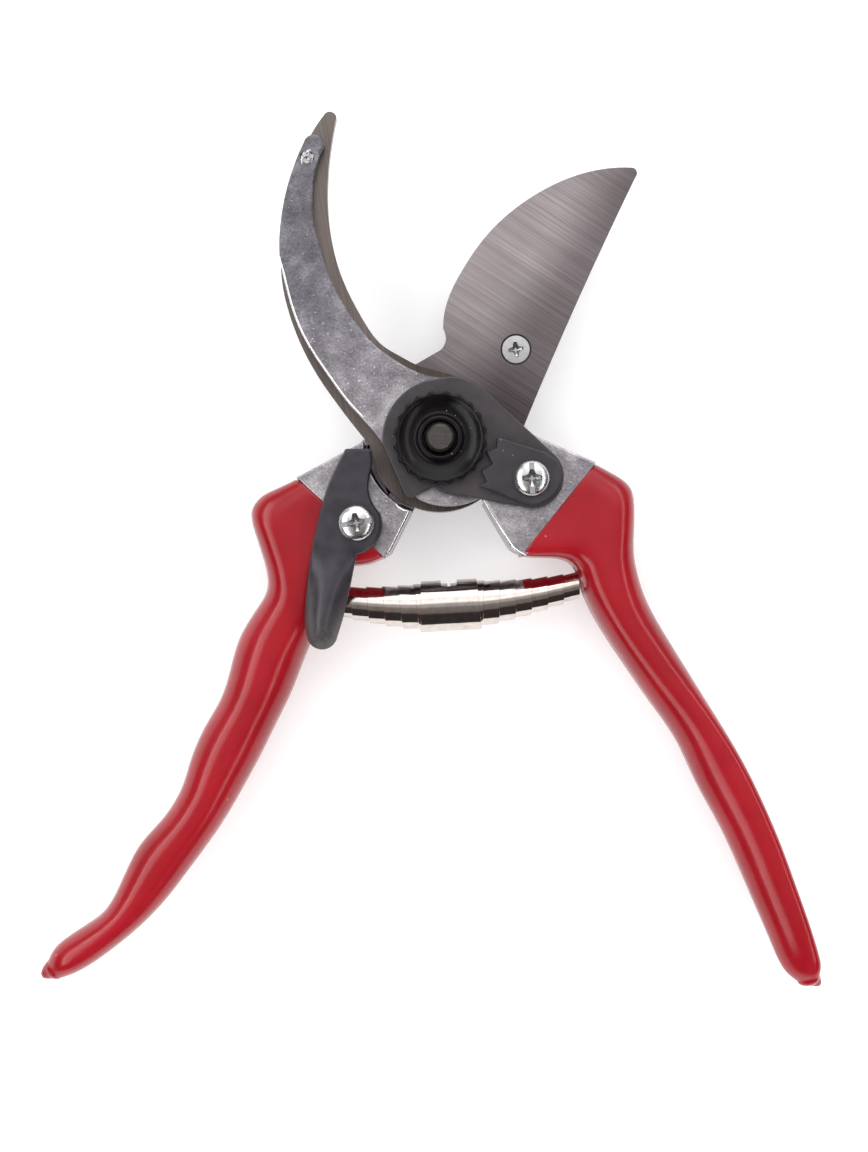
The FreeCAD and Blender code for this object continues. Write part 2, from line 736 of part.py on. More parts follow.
def build_plate():
    body = new_body("lock_plate")
    r = value("plate_radius")
    end = value("plate_end_radius")

    def at_end(degrees):
        x, y = polar(end, degrees)
        return (PLATE_END[0] + x, PLATE_END[1] + y)

    top, left = (-2.9, 12.15), polar(r, 186)
    outline = [
        ("spline", top, (0.2, 12.75), (3.5, 12.95), (6.7, 11.9), (9.6, 10.1), (11.7, 8.1)),
        ("line", (11.7, 8.1), at_end(44)),
        ("arc", at_end(44), at_end(-30), at_end(-96)),
        ("line", at_end(-96), (1.4, -11.4)),
        ("arc", (1.4, -11.4), (-0.2, -10.7), (-1.5, -10.0)),
        ("line", (-1.5, -10.0), (-6.0, -12.3)),
        ("arc", (-6.0, -12.3), (-6.9, -12.2), (-7.5, -11.5)),
        ("line", (-7.5, -11.5), left),
        ("arc", left, polar(r, 145), top),
    ]
    base = new_sketch(body, "plate_outline", "shear_level slide_gap anvil_thick arm_thick")
    add_outline(base, outline)
    pad(body, base, "plate_thick")
    doc.recompute()
    holes = new_sketch(body, "holes", "shear_level slide_gap anvil_thick arm_thick plate_thick")
    add_circle(holes, "thread_radius shoulder_clearance")
    add_circle(holes, "screw_radius", SEGMENT_SCREW)
    pocket(body, holes, "plate_thick plate_thick")
    return body


PLATE_FACE = "shear_level slide_gap anvil_thick arm_thick plate_thick"


def build_nut():
    """The round adjusting nut, notched around its rim and dished in front."""
    body = new_body("toothed_nut")
    rim = PLATE_FACE + " nut_height"
    turn(body, "nut_profile", [
        ("thread_radius", PLATE_FACE),
        ("nut_radius", PLATE_FACE),
        ("nut_radius", rim),
        ("nut_dish_radius", rim),
        ("nut_dish_foot_radius", PLATE_FACE + " nut_floor"),
        ("nut_hub_radius", PLATE_FACE + " nut_floor"),
        ("nut_hub_radius", PLATE_FACE + " nut_hub_height"),
        ("thread_radius", PLATE_FACE + " nut_hub_height"),
    ])
    gap = new_sketch(body, "tooth_gap", rim)
    add_circle(gap, "tooth_gap_radius", polar(value("tooth_gap_place"), FIRST_TOOTH))
    notch = pocket(body, gap, "nut_height nut_height")
    pattern = body.newObject("PartDesign::PolarPattern", "Teeth")
    pattern.Originals = [notch]
    pattern.Axis = (gap, ["N_Axis"])
    pattern.Angle = 360.0
    pattern.setExpression("Occurrences", "Sizes.nut_teeth")
    body.Tip = pattern
    doc.recompute()
    return body


def build_segment():
    """The small toothed piece that keeps the nut from turning."""
    body = new_body("toothed_segment")
    outline = [
        ("line", (11.8, -2.1), polar(9.85, FIRST_TOOTH)),
        ("line", polar(9.85, FIRST_TOOTH), (11.0, -5.4)),
        ("line", (11.0, -5.4), (8.5, -6.65)),
        ("line", (8.5, -6.65), (9.7, -9.0)),
        ("line", (9.7, -9.0), (8.2, -9.9)),
        ("line", (8.2, -9.9), (16.9, -13.3)),
        ("arc", (16.9, -13.3), (24.2, -11.2), (24.3, -4.5)),
        ("line", (24.3, -4.5), (22.0, -2.9)),
        ("line", (22.0, -2.9), (12.5, 0.1)),
        ("arc", (12.5, 0.1), (11.9, 0.0), (11.8, -0.5)),
        ("line", (11.8, -0.5), (11.8, -2.1)),
    ]
    base = new_sketch(body, "segment_outline", PLATE_FACE)
    add_outline(base, outline)
    soften(body, pad(body, base, "segment_thick"), 0.25, PLATE_TOP + value("segment_thick"))
    holes = new_sketch(body, "hole", PLATE_FACE + " segment_thick")
    add_circle(holes, "screw_radius", SEGMENT_SCREW)
    pocket(body, holes, "segment_thick segment_thick")
    return body


def cross(length, width):
    """The outline of a cross recess."""
    a, b = length / 2, width / 2
    quarter = [(a, b), (b, b), (b, a)]
    points = []
    for k in range(4):
        for x, y in quarter:
            for _ in range(k):
                x, y = -y, x
            points.append((x, y))
    return polygon(points)


def build_pan_screw(label, place, tip, foot, shoulder):
    """A pan-head screw with a cross recess. Its thread runs from tip to foot, and its shoulder to the head."""
    body = new_body(label)
    profile = [("0", tip), ("screw_radius", tip), ("screw_radius", foot)]
    if shoulder != foot:
        profile += [("screw_shoulder_radius", foot), ("screw_shoulder_radius", shoulder)]
    top = shoulder + " pan_head_height"
    profile += [("pan_head_radius", shoulder), ("pan_head_radius", top), ("0", top)]
    head = turn(body, "screw_profile", profile)
    soften(body, head, 1.3, value(top), "PartDesign::Fillet")
    recess = new_sketch(body, "cross_recess", top)
    add_outline(recess, cross(4.0, 1.0))
    pocket(body, recess, "cross_depth")
    body.Placement = Placement(flat(place), Rotation())
    return body


def build_blade_screw():
    body = new_body("blade_screw")
    tip = "shear_level -blade_thick -arm_thick"
    neck = "shear_level -countersink_depth"
    head = turn(body, "screw_profile", [
        ("0", tip),
        ("screw_radius", tip),
        ("screw_radius", neck),
        ("blade_screw_head_radius", "shear_level -slide_gap"),
        ("0", "shear_level -slide_gap"),
    ])
    recess = new_sketch(body, "cross_recess", "shear_level -slide_gap")
    add_outline(recess, cross(3.6, 0.9))
    pocket(body, recess, "cross_depth")
    body.Placement = Placement(flat(BLADE_SCREW), Rotation())
    return body


LEVER_FLOOR = "shear_level anvil_thick arm_thick disc_spring_height slide_gap"


def build_lever():
    body = new_body("lock_lever")
    outline = [
        ("arc", (-20.0, -2.9), (-19.8, -2.4), (-19.4, -2.2)),
        ("line", (-19.4, -2.2), (-15.0, -2.2)),
        ("arc", (-15.0, -2.2), (-14.5, -2.4), (-14.2, -3.0)),
        ("spline", (-14.2, -3.0), (-14.1, -4.2), (-14.7, -8.0), (-14.9, -10.8), (-14.2, -13.2), (-12.5, -15.6)),
        ("arc", (-12.5, -15.6), (-12.8, -20.8), (-17.4, -24.2)),
        ("spline", (-17.4, -24.2), (-18.6, -30.0), (-20.1, -36.8), (-21.5, -41.4)),
        ("arc", (-21.5, -41.4), (-24.5, -44.1), (-27.7, -41.9)),
        ("spline", (-27.7, -41.9), (-28.3, -37.5), (-27.9, -31.6), (-26.9, -24.3), (-25.4, -17.0),
         (-22.9, -8.7), (-20.0, -2.9)),
    ]
    base = new_sketch(body, "lever_outline", LEVER_FLOOR)
    add_outline(base, outline)
    pad(body, base, "lever_thick")
    doc.recompute()
    thumb = [
        ("arc", (-21.0, -37.4), (-24.5, -43.1), (-27.6, -37.2)),
        ("arc", (-27.6, -37.2), (-24.1, -31.0), (-21.0, -37.4)),
    ]
    rise = new_sketch(body, "thumb_rise", LEVER_FLOOR + " lever_thick")
    add_outline(rise, thumb)
    raised = pad(body, rise, "thumb_rise")
    soften(body, raised, 1.2, value(LEVER_FLOOR + " lever_thick thumb_rise"), "PartDesign::Fillet")
    hole = new_sketch(body, "hole", LEVER_FLOOR + " lever_thick")
    add_circle(hole, "screw_shoulder_radius screw_shoulder_clearance", LEVER_SCREW)
    pocket(body, hole, "lever_thick lever_thick")
    return body


def build_disc_spring():
    """The dished washer that keeps the lever from swinging loose."""
    body = new_body("lever_spring_washer")
    low = "shear_level anvil_thick arm_thick"
    high = low + " disc_spring_height"
    bore = "screw_shoulder_radius screw_shoulder_clearance"
    turn(body, "ring", [
        ("disc_spring_radius", low),
        ("disc_spring_radius", low + " disc_spring_thick"),
        (bore, high),
        (bore, high + " -disc_spring_thick"),
    ])
    body.Placement = Placement(flat(LEVER_SCREW), Rotation())
    return body


def build_spring():
    sleeve = along_spring(value("spring_radius"), -value("sleeve_length") / 2, value("sleeve_length") / 2)
    inside = value("spring_radius") - value("strip_thick")
    bore = along_spring(inside, -value("sleeve_length"), value("sleeve_length"))
    return Part.makeCompound([sleeve.cut(bore), volute(-1), volute(1)])


# --- all the sub-parts ---

shaped("hook_handle_forging", hook_forging())
shaped("blade_handle_forging", blade_forging())
shaped("hook_handle_coating", coating(HOOK_STATIONS, 1))
shaped("blade_handle_coating", coating(BLADE_STATIONS, -1))
build_blade()
build_counter_blade()
build_rivet("counter_blade_tip_rivet", RIVETS[0], " -tip_rivet_drop")
build_rivet("counter_blade_left_rivet", RIVETS[1], "")
build_rivet("counter_blade_right_rivet", RIVETS[2], "")
build_bolt()
build_washer()
build_plate()
build_nut()
build_segment()
ARM_FACE = "shear_level slide_gap anvil_thick arm_thick"
SEGMENT_FACE = PLATE_FACE + " segment_thick"
build_pan_screw("segment_screw", SEGMENT_SCREW, ARM_FACE + " -screw_length", SEGMENT_FACE, SEGMENT_FACE)
build_blade_screw()
build_lever()
build_disc_spring()
PAD_FACE = "shear_level anvil_thick arm_thick"
LEVER_FACE = LEVER_FLOOR + " lever_thick slide_gap"
build_pan_screw("lock_lever_screw", LEVER_SCREW, PAD_FACE + " -screw_length", PAD_FACE, LEVER_FACE)
shaped("volute_spring", build_spring())

doc.recompute()
os.makedirs("parts", exist_ok=True)
for part in doc.Objects:
    if any(state in part.State for state in ("Invalid", "Error")):
        raise RuntimeError(part.Label + " did not recompute")
    if part.TypeId in ("PartDesign::Body", "Part::Feature"):
        if part.Shape.isNull() or not part.Shape.isValid():
            raise RuntimeError(part.Label + " is not a valid shape")
        print(part.Label, part.Shape.ShapeType, len(part.Shape.Solids), round(part.Shape.Volume, 1))
        part.Shape.exportStep(f"parts/{part.Label}.step")
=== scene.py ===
"""Bypass pruning shears, sprung open on a white table and seen from straight above."""

import math

import bmesh
import bpy
import numpy as np
from mathutils import Matrix, Vector


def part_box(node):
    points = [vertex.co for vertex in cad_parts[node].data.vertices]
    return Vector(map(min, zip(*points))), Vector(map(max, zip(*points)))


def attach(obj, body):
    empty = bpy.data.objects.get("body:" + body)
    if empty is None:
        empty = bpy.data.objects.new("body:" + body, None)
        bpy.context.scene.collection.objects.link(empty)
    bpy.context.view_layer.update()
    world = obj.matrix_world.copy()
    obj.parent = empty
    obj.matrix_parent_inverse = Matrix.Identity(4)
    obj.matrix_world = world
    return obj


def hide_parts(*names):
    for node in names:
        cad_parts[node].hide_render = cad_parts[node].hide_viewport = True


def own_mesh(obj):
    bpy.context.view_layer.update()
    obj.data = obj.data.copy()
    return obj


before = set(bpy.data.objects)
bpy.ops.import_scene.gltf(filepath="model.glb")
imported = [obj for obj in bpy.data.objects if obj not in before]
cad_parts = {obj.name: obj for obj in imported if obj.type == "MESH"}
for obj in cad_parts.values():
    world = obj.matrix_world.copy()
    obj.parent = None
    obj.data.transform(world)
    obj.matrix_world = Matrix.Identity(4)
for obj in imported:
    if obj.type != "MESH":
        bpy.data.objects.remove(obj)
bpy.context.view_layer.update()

MM = 0.001
BLADE_SIDE = "blade_handle"
HOOK_SIDE = "hook_handle"
LEVER_SIDE = "lock_lever"


# --- places and levels, read from the frame (millimetres) ---


def node_box(name):
    """The lowest and the highest corner of a node's box."""
    low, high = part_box(name)
    return Vector(low) / MM, Vector(high) / MM


def centre_of(name):
    low, high = node_box(name)
    return (low + high) / 2


SHEAR = node_box("cutting_blade")[1].z  # the plane in which the two blades slide
PLATE_TOP = node_box("lock_plate")[1].z
LEVER_FLOOR = node_box("lock_lever")[0].z
BLADE_SCREW = centre_of("blade_screw")
SEGMENT_SCREW = centre_of("segment_screw")
LEVER_SCREW = centre_of("lock_lever_screw")
TIP_RIVET = centre_of("counter_blade_tip_rivet")


# --- shader nodes ---


class Shader:
    """A material being built: its node tree, its surface shader and its coordinates in millimetres."""

    def __init__(self, name, metallic=0.0, turn=0.0):
        self.material = bpy.data.materials.new(name)
        self.material.use_nodes = True
        self.tree = self.material.node_tree
        self.tree.nodes.clear()
        self.surface = self.add("ShaderNodeBsdfPrincipled")
        self.fixed(Metallic=metallic)
        output = self.add("ShaderNodeOutputMaterial")
        self.link(self.surface.outputs[0], output.inputs[0])
        place = self.add("ShaderNodeTexCoord")
        self.coords = self.mapped(place.outputs["Object"], (1 / MM,) * 3)
        if turn:
            self.coords = self.mapped(self.coords, turn=turn)

    def add(self, kind, **properties):
        made = self.tree.nodes.new(kind)
        for key, value in properties.items():
            setattr(made, key, value)
        return made

    def link(self, source, target):
        self.tree.links.new(source, target)

    def mapped(self, source, scale=(1, 1, 1), turn=0.0):
        mapping = self.add("ShaderNodeMapping")
        mapping.inputs["Scale"].default_value = scale
        mapping.inputs["Rotation"].default_value = (0, 0, turn)
        self.link(source, mapping.inputs["Vector"])
        return mapping.outputs[0]

    def noise(self, scale, detail=3.0, roughness=0.55, stretch=(1, 1, 1)):
        """Noise of this many features to a millimetre, stretched along the axes if asked."""
        made = self.add("ShaderNodeTexNoise")
        made.inputs["Scale"].default_value = scale
        made.inputs["Detail"].default_value = detail
        made.inputs["Roughness"].default_value = roughness
        self.link(self.mapped(self.coords, stretch), made.inputs["Vector"])
        return made.outputs["Fac"]

    def spots(self, scale, size):
        """Small round spots: 1 inside a spot and 0 outside."""
        made = self.add("ShaderNodeTexVoronoi")
        made.inputs["Scale"].default_value = scale
        self.link(self.coords, made.inputs["Vector"])
        return self.ramp(made.outputs["Distance"], ((size * 0.5, 1.0), (size, 0.0)))

    def ramp(self, source, stops):
        """Maps a number through stops of (position, grey or colour)."""
        made = self.add("ShaderNodeValToRGB")
        elements = made.color_ramp.elements
        while len(elements) < len(stops):
            elements.new(0.5)
        for element, (position, value) in zip(elements, stops):
            element.position = position
            element.color = (*value, 1) if isinstance(value, tuple) else (value, value, value, 1)
        self.link(source, made.inputs[0])
        return made.outputs[0]

    def mix(self, factor, a, b, blend="MIX"):
        """Blends a into b. Each of the three is a socket, a number or a colour."""
        made = self.add("ShaderNodeMix", data_type="RGBA", blend_type=blend)
        for socket, value in zip((made.inputs[0], made.inputs[6], made.inputs[7]), (factor, a, b)):
            if isinstance(value, bpy.types.NodeSocket):
                self.link(value, socket)
            elif isinstance(value, tuple):
                socket.default_value = (*value, 1)
            else:
                socket.default_value = value
        return made.outputs[2]

    def along(self, axis, start, end):
        """0 before start and 1 after end, along one of the piece's own axes, in millimetres."""
        split = self.add("ShaderNodeSeparateXYZ")
        self.link(self.coords, split.inputs[0])
        made = self.add("ShaderNodeMapRange", interpolation_type="SMOOTHSTEP")
        made.inputs["From Min"].default_value = start
        made.inputs["From Max"].default_value = end
        self.link(split.outputs[axis], made.inputs["Value"])
        return made.outputs[0]

    def fixed(self, **values):
        """Sets inputs of the surface shader to constants, by name, with _ for each space."""
        for name, value in values.items():
            self.surface.inputs[name.replace("_", " ")].default_value = value

    def colour(self, source):
        self.link(source, self.surface.inputs["Base Color"])

    def darkened(self, tone, dark):
        """This tone with its light cut to the share that dark gives."""
        return self.mix(1.0, tone, dark, "MULTIPLY")

    def rough(self, source, low, high):
        """Roughness from low to high, by a source that runs from 0 to 1."""
        made = self.add("ShaderNodeMapRange")
        made.inputs["To Min"].default_value = low
        made.inputs["To Max"].default_value = high
        self.link(source, made.inputs["Value"])
        self.link(made.outputs[0], self.surface.inputs["Roughness"])

    def bump(self, *layers):
        """Raises the surface by layers of (height source, depth in millimetres)."""
        normal = None
        for source, depth in layers:
            made = self.add("ShaderNodeBump")
            made.inputs["Strength"].default_value = 1.0
            made.inputs["Distance"].default_value = depth * MM
            self.link(source, made.inputs["Height"])
            if normal:
                self.link(normal, made.inputs["Normal"])
            normal = made.outputs[0]
        self.link(normal, self.surface.inputs["Normal"])


# --- materials ---

X_AXIS, Y_AXIS = 0, 1


def dipped_red():
    """Thick glossy PVC, with a slow swell from dipping and a few specks of dust in it."""
    s = Shader("dipped_red")
    cloud = s.noise(0.08, 3.0)
    tone = s.ramp(cloud, ((0.3, (0.235, 0.004, 0.009)), (0.7, (0.30, 0.007, 0.014))))
    specks = s.spots(0.16, 0.045)
    dark = s.noise(1.6, 2.0)
    tone = s.mix(s.ramp(dark, ((0.66, 0.0), (0.76, 0.12))), tone, (0.19, 0.004, 0.008))
    s.colour(s.mix(specks, tone, (0.60, 0.12, 0.11)))
    s.rough(s.noise(0.5, 4.0), 0.18, 0.26)
    s.fixed(Specular_IOR_Level=0.42, Specular_Tint=(1.0, 0.86, 0.86, 1.0))
    s.fixed(Subsurface_Weight=0.06, Subsurface_Radius=(0.0025, 0.0004, 0.0003))
    s.bump((cloud, 0.08), (s.noise(0.35, 2.0), 0.015), (specks, 0.02))
    return s.material


def forged_aluminium():
    """Tumbled forging: a mottled grey skin with bright pits, and painted shade that darkens it towards the
    tip of the arm.
    """
    s = Shader("forged_aluminium", metallic=1.0)
    blotch = s.noise(0.2, 6.0, 0.66)
    grain = s.noise(2.2, 4.0, 0.65)
    tones = ((0.32, (0.25, 0.235, 0.255)), (0.52, (0.38, 0.36, 0.385)), (0.72, (0.64, 0.61, 0.64)))
    tone = s.ramp(blotch, tones)
    tone = s.mix(0.55, tone, s.ramp(grain, ((0.3, 0.22), (0.7, 0.85))), "OVERLAY")
    bright = s.spots(0.9, 0.20)
    pits = s.ramp(s.noise(1.1, 2.0), ((0.52, 0.0), (0.60, 0.7)))
    tone = s.mix(s.mix(pits, (0, 0, 0), bright), tone, (0.93, 0.93, 0.95))
    # Painted shade: the tone is darkened along y, towards the tip of the arm.
    s.colour(s.mix(s.along(Y_AXIS, -2.0, 36.0), tone, s.darkened(tone, (0.38, 0.38, 0.40))))
    s.rough(blotch, 0.28, 0.44)
    s.bump((grain, 0.03), (bright, 0.03), (s.noise(0.5, 3.0), 0.05))
    return s.material


def polished_and_highlit_aluminium():
    """The edges of the forging, ground bright; on the arm's back this bright tone is also a painted
    highlight.
    """
    s = Shader("polished_and_highlit_aluminium", metallic=1.0)
    streak = s.noise(1.4, 4.0)
    s.colour(s.ramp(streak, ((0.3, (0.72, 0.715, 0.73)), (0.7, (0.90, 0.895, 0.91)))))
    s.rough(streak, 0.16, 0.28)
    s.bump((streak, 0.01))
    return s.material


def brushed_steel(name, turn, low, high, painted_shades=(), lines=2.6):
    """Ground steel. The grinding lines run at this turn, lines of them to a millimetre.

    Each painted shade is an axis, where it starts and ends along it in millimetres, and the light it
    leaves.
    """
    s = Shader(name, metallic=1.0, turn=-turn)
    fine = s.noise(lines, 4.0, 0.75, stretch=(0.010, 1, 0.3))
    broad = s.noise(0.5, 3.0, 0.6, stretch=(0.04, 1, 0.3))
    tone = s.ramp(fine, ((0.30, low), (0.70, high)))
    tone = s.mix(0.22, tone, s.ramp(broad, ((0.3, 0.3), (0.7, 0.8))), "OVERLAY")
    stain = s.ramp(s.noise(0.05, 3.0), ((0.35, 0.0), (0.75, 0.4)))
    tone = s.mix(stain, tone, tuple(c * 0.75 for c in low))
    # Painted shade: each one darkens the tone along one axis.
    for axis, start, end, dark in painted_shades:
        tone = s.mix(s.along(axis, start, end), tone, s.darkened(tone, dark))
    s.colour(tone)
    s.rough(fine, 0.27, 0.42)
    s.fixed(Anisotropic=0.5)
    s.bump((fine, 0.012))
    return s.material


def black_finish(name, tone, worn, roughness=(0.36, 0.5), shine=0.6):
    """Blackened or painted steel with a light handling polish."""
    s = Shader(name)
    cloud = s.noise(0.25, 4.0)
    grain = s.noise(4.0, 3.0)
    base = s.mix(s.ramp(cloud, ((0.35, 0.0), (0.75, 1.0))), tone, worn)
    dust = s.spots(0.5, 0.07)
    s.colour(s.mix(dust, base, (0.25, 0.25, 0.26)))
    s.rough(cloud, *roughness)
    s.fixed(Specular_IOR_Level=shine)
    s.bump((grain, 0.008), (cloud, 0.03))
    return s.material


def lever_black():
    """The lever's dark paint, worn grey where the thumb pushes it; that grey end also serves as a painted
    highlight.
    """
    s = Shader("lever_black")
    cloud = s.noise(0.3, 4.0)
    grain = s.noise(2.5, 4.0)
    base = s.mix(s.ramp(cloud, ((0.35, 0.0), (0.75, 1.0))), (0.017, 0.015, 0.020), (0.032, 0.029, 0.038))
    # The thumb end is lighter: partly real wear, partly painted highlight on the thumb rest.
    thumb_wear_and_highlight = s.along(Y_AXIS, -34.0, -43.0)
    patchy = s.mix(s.ramp(grain, ((0.35, 0.25), (0.7, 1.0))), (0, 0, 0), thumb_wear_and_highlight)
    s.colour(s.mix(patchy, base, (0.075, 0.070, 0.070)))
    s.rough(cloud, 0.34, 0.44)
    s.fixed(Specular_IOR_Level=0.45)
    s.bump((grain, 0.01), (cloud, 0.03))
    return s.material


def bright_metal(name, tone, roughness, scuffs):
    """Plated, polished or plain bright metal, with a few scuffs."""
    s = Shader(name, metallic=1.0)
    cloud = s.noise(0.6, 4.0)
    scratch = s.noise(2.0, 4.0, 0.7, stretch=(0.2, 1, 1))
    dull = tuple(c * 0.72 for c in tone)
    s.colour(s.mix(s.ramp(cloud, ((0.4, 0.0), (0.8, 0.8))), tone, dull))
    s.rough(scratch, *roughness)
    s.bump((scratch, scuffs))
    return s.material


RED = dipped_red()
FORGED = forged_aluminium()
POLISHED_AND_HIGHLIT = polished_and_highlit_aluminium()
GRIND_ANGLE = math.radians(-33.0)
ARM_GRIND_ANGLE = math.radians(100.0)
# Painted shade on the blade: darker along the spine, towards the pivot and at the tip.
BLADE_PAINTED_SHADE = (
    (X_AXIS, -7.0, 5.0, (0.52, 0.50, 0.51)),
    (Y_AXIS, 30.0, 9.0, (0.44, 0.42, 0.43)),
    (Y_AXIS, 52.0, 68.0, (0.80, 0.79, 0.79)),
)
# Painted shade that darkens the counter-blade along one axis.
COUNTER_PAINTED_SHADE = ((Y_AXIS, 12.0, 0.0, (0.55, 0.52, 0.50)),)
BLADE_STEEL = brushed_steel(
    "blade_steel", GRIND_ANGLE, (0.275, 0.24, 0.245), (0.475, 0.43, 0.44), BLADE_PAINTED_SHADE)
EDGE_STEEL = bright_metal("edge_steel", (0.34, 0.31, 0.31), (0.2, 0.34), 0.009)
COUNTER_STEEL = brushed_steel(
    "counter_steel", ARM_GRIND_ANGLE, (0.13, 0.11, 0.10), (0.25, 0.215, 0.20), COUNTER_PAINTED_SHADE, 3.0)
COUNTER_EDGE = brushed_steel(
    "counter_edge", ARM_GRIND_ANGLE, (0.46, 0.41, 0.39), (0.66, 0.59, 0.57), lines=3.0)
PLATE_BLACK = black_finish("plate_black", (0.018, 0.014, 0.017), (0.036, 0.029, 0.034))
NUT_BLACK = black_finish(
    "nut_black", (0.003, 0.002, 0.003), (0.006, 0.005, 0.006), (0.20, 0.30), 0.18)
SEGMENT_BLACK = black_finish("segment_black", (0.013, 0.011, 0.015), (0.024, 0.021, 0.028), (0.34, 0.48))
LEVER_BLACK = lever_black()
BOLT_STEEL = bright_metal("bolt_steel", (0.12, 0.11, 0.105), (0.22, 0.36), 0.024)
ZINC = bright_metal("zinc", (0.63, 0.63, 0.64), (0.2, 0.34), 0.006)
# Painted shade: a darker steel for the steep walls of the screw recesses.
RECESS_PAINTED_SHADE = bright_metal("recess_painted_shade", (0.33, 0.32, 0.31), (0.28, 0.42), 0.015)
RIVET_STEEL = bright_metal("rivet_steel", (0.34, 0.33, 0.34), (0.16, 0.30), 0.018)
CHROME = bright_metal("chrome", (0.62, 0.56, 0.52), (0.05, 0.14), 0.0036)
# Painted shadow: a near-black finish for the sides of the blade screw's countersink.
COUNTERSINK_PAINTED_SHADOW = black_finish("countersink_painted_shadow", (0.004, 0.004, 0.004), (0.008, 0.008, 0.008), (0.6, 0.8))


# --- mesh helpers ---

RING_POINTS = 96  # in each ring round a grip
FLAT_AREA = 12.0 * MM * MM  # a face at least this large is flat, unless it closes the end of a grip
SEAM = 0.002  # corners nearer than this are one corner
FLAT_TURN = math.radians(0.4)  # faces that meet at less than this are one flat face
STEEP, LEVEL = 0.5, 0.9  # how much a wall's normal may point up, and how much a level face's must


def piece(name, mesh, body, node, *materials):
    """A piece that rides on a body and stands for one CAD node."""
    made = bpy.data.objects.new(name, mesh)
    bpy.context.scene.collection.objects.link(made)
    for material in materials:
        mesh.materials.append(material)
    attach(made, body)
    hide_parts(node)
    return made


def shade(mesh, angle=35.0):
    """Smooth shading, with large flat faces left flat and every edge sharper than this left sharp."""
    for polygon in mesh.polygons:
        polygon.use_smooth = polygon.area < FLAT_AREA or len(polygon.vertices) == RING_POINTS
    mesh.set_sharp_from_angle(angle=math.radians(angle))


def keep_flats_flat(made):
    """Takes the shading of each corner from its largest face, so that flat faces stay flat."""
    weighted = made.modifiers.new("flat_faces", "WEIGHTED_NORMAL")
    weighted.keep_sharp = True
    weighted.weight = 100


def plain_mesh(work, name):
    bmesh.ops.recalc_face_normals(work, faces=work.faces)
    mesh = bpy.data.meshes.new(name)
    work.to_mesh(mesh)
    work.free()
    return mesh


def shaded_mesh(work, name, angle=35.0):
    """The finished mesh, in metres, of a shape worked on in millimetres."""
    bmesh.ops.transform(work, matrix=Matrix.Scale(MM, 4), verts=work.verts)
    mesh = plain_mesh(work, name)
    shade(mesh, angle)
    return mesh


def join_rings(work, rings, closed=False):
    """Joins each ring of corners to the next, and the last to the first if closed."""
    pairs = list(zip(rings, rings[1:]))
    if closed:
        pairs.insert(0, (rings[-1], rings[0]))
    count = len(rings[0])
    for here, there in pairs:
        for j in range(count):
            k = (j + 1) % count
            work.faces.new((here[j], here[k], there[k], there[j]))


def joined_copy(node):
    """The node's own mesh with its seams joined and its flat faces made whole, in millimetres."""
    work = bmesh.new()
    work.from_mesh(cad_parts[node].data)
    bmesh.ops.transform(work, matrix=Matrix.Scale(1 / MM, 4), verts=work.verts)
    bmesh.ops.remove_doubles(work, verts=work.verts, dist=SEAM)
    bmesh.ops.dissolve_limit(work, angle_limit=FLAT_TURN, verts=work.verts, edges=work.edges)
    return work


def sharp_edges(work, pick, angle=40.0):
    limit = math.radians(angle)
    return [
        edge for edge in work.edges
        if len(edge.link_faces) == 2 and edge.calc_face_angle(0.0) > limit and pick(edge)
    ]


def bevel(work, edges, width, segments, material=0, clamp=True):
    bmesh.ops.bevel(
        work, geom=edges, offset=width, offset_type="OFFSET", segments=segments, profile=0.5,
        affect="EDGES", clamp_overlap=clamp, material=material,
    )


def at_level(level, slack=0.02):
    """Picks the edges that lie wholly at this height."""
    return lambda edge: all(abs(v.co.z - level) < slack for v in edge.verts)


def anywhere(edge):
    return True


def eased(node, body, material, width, segments, pick=anywhere, edge_material=None):
    """The node's own shape with its sharp edges broken."""
    materials = [material, edge_material] if edge_material else [material]
    work = joined_copy(node)
    bevel(work, sharp_edges(work, pick), width, segments, len(materials) - 1)
    made = piece("eased_" + node, shaded_mesh(work, node + "_shape"), body, node, *materials)
    keep_flats_flat(made)
    return made


def smooth_step(start, end, value):
    """0 before start and 1 after end, with an easy change between them."""
    t = np.clip((value - start) / (end - start), 0.0, 1.0)
    return t * t * (3 - 2 * t)


def power(number, exponent):
    """The number's size to this power, with its own sign."""
    return np.sign(number) * np.abs(number) ** exponent


def curve_through(points, count):
    """Rows at even steps along a natural cubic spline through the given rows.

    The first two numbers of a row are a place, and its distance from the next sets the spline's pace.
    """
    points = np.array(points, float)
    steps = np.linalg.norm(np.diff(points[:, :2], axis=0), axis=1)
    times = np.concatenate(([0.0], np.cumsum(steps)))
    gaps = np.diff(times)
    n = len(points)
    system = np.zeros((n, n))
    right = np.zeros((n, points.shape[1]))
    system[0, 0] = system[-1, -1] = 1.0
    for i in range(1, n - 1):
        before, after = gaps[i - 1], gaps[i]
        system[i, i - 1], system[i, i], system[i, i + 1] = before, 2 * (before + after), after
        right[i] = 6 * ((points[i + 1] - points[i]) / after - (points[i] - points[i - 1]) / before)
    bend = np.linalg.solve(system, right)
    wanted = np.linspace(0.0, times[-1], count)
    k = np.clip(np.searchsorted(times, wanted, side="right") - 1, 0, n - 2)
    before = (times[k + 1] - wanted)[:, None]
    after = (wanted - times[k])[:, None]
    gap = gaps[k][:, None]
    return (
        (bend[k] * before**3 + bend[k + 1] * after**3) / (6 * gap)
        + (points[k] / gap - bend[k] * gap / 6) * before
        + (points[k + 1] / gap - bend[k + 1] * gap / 6) * after
    )


# --- grips ---

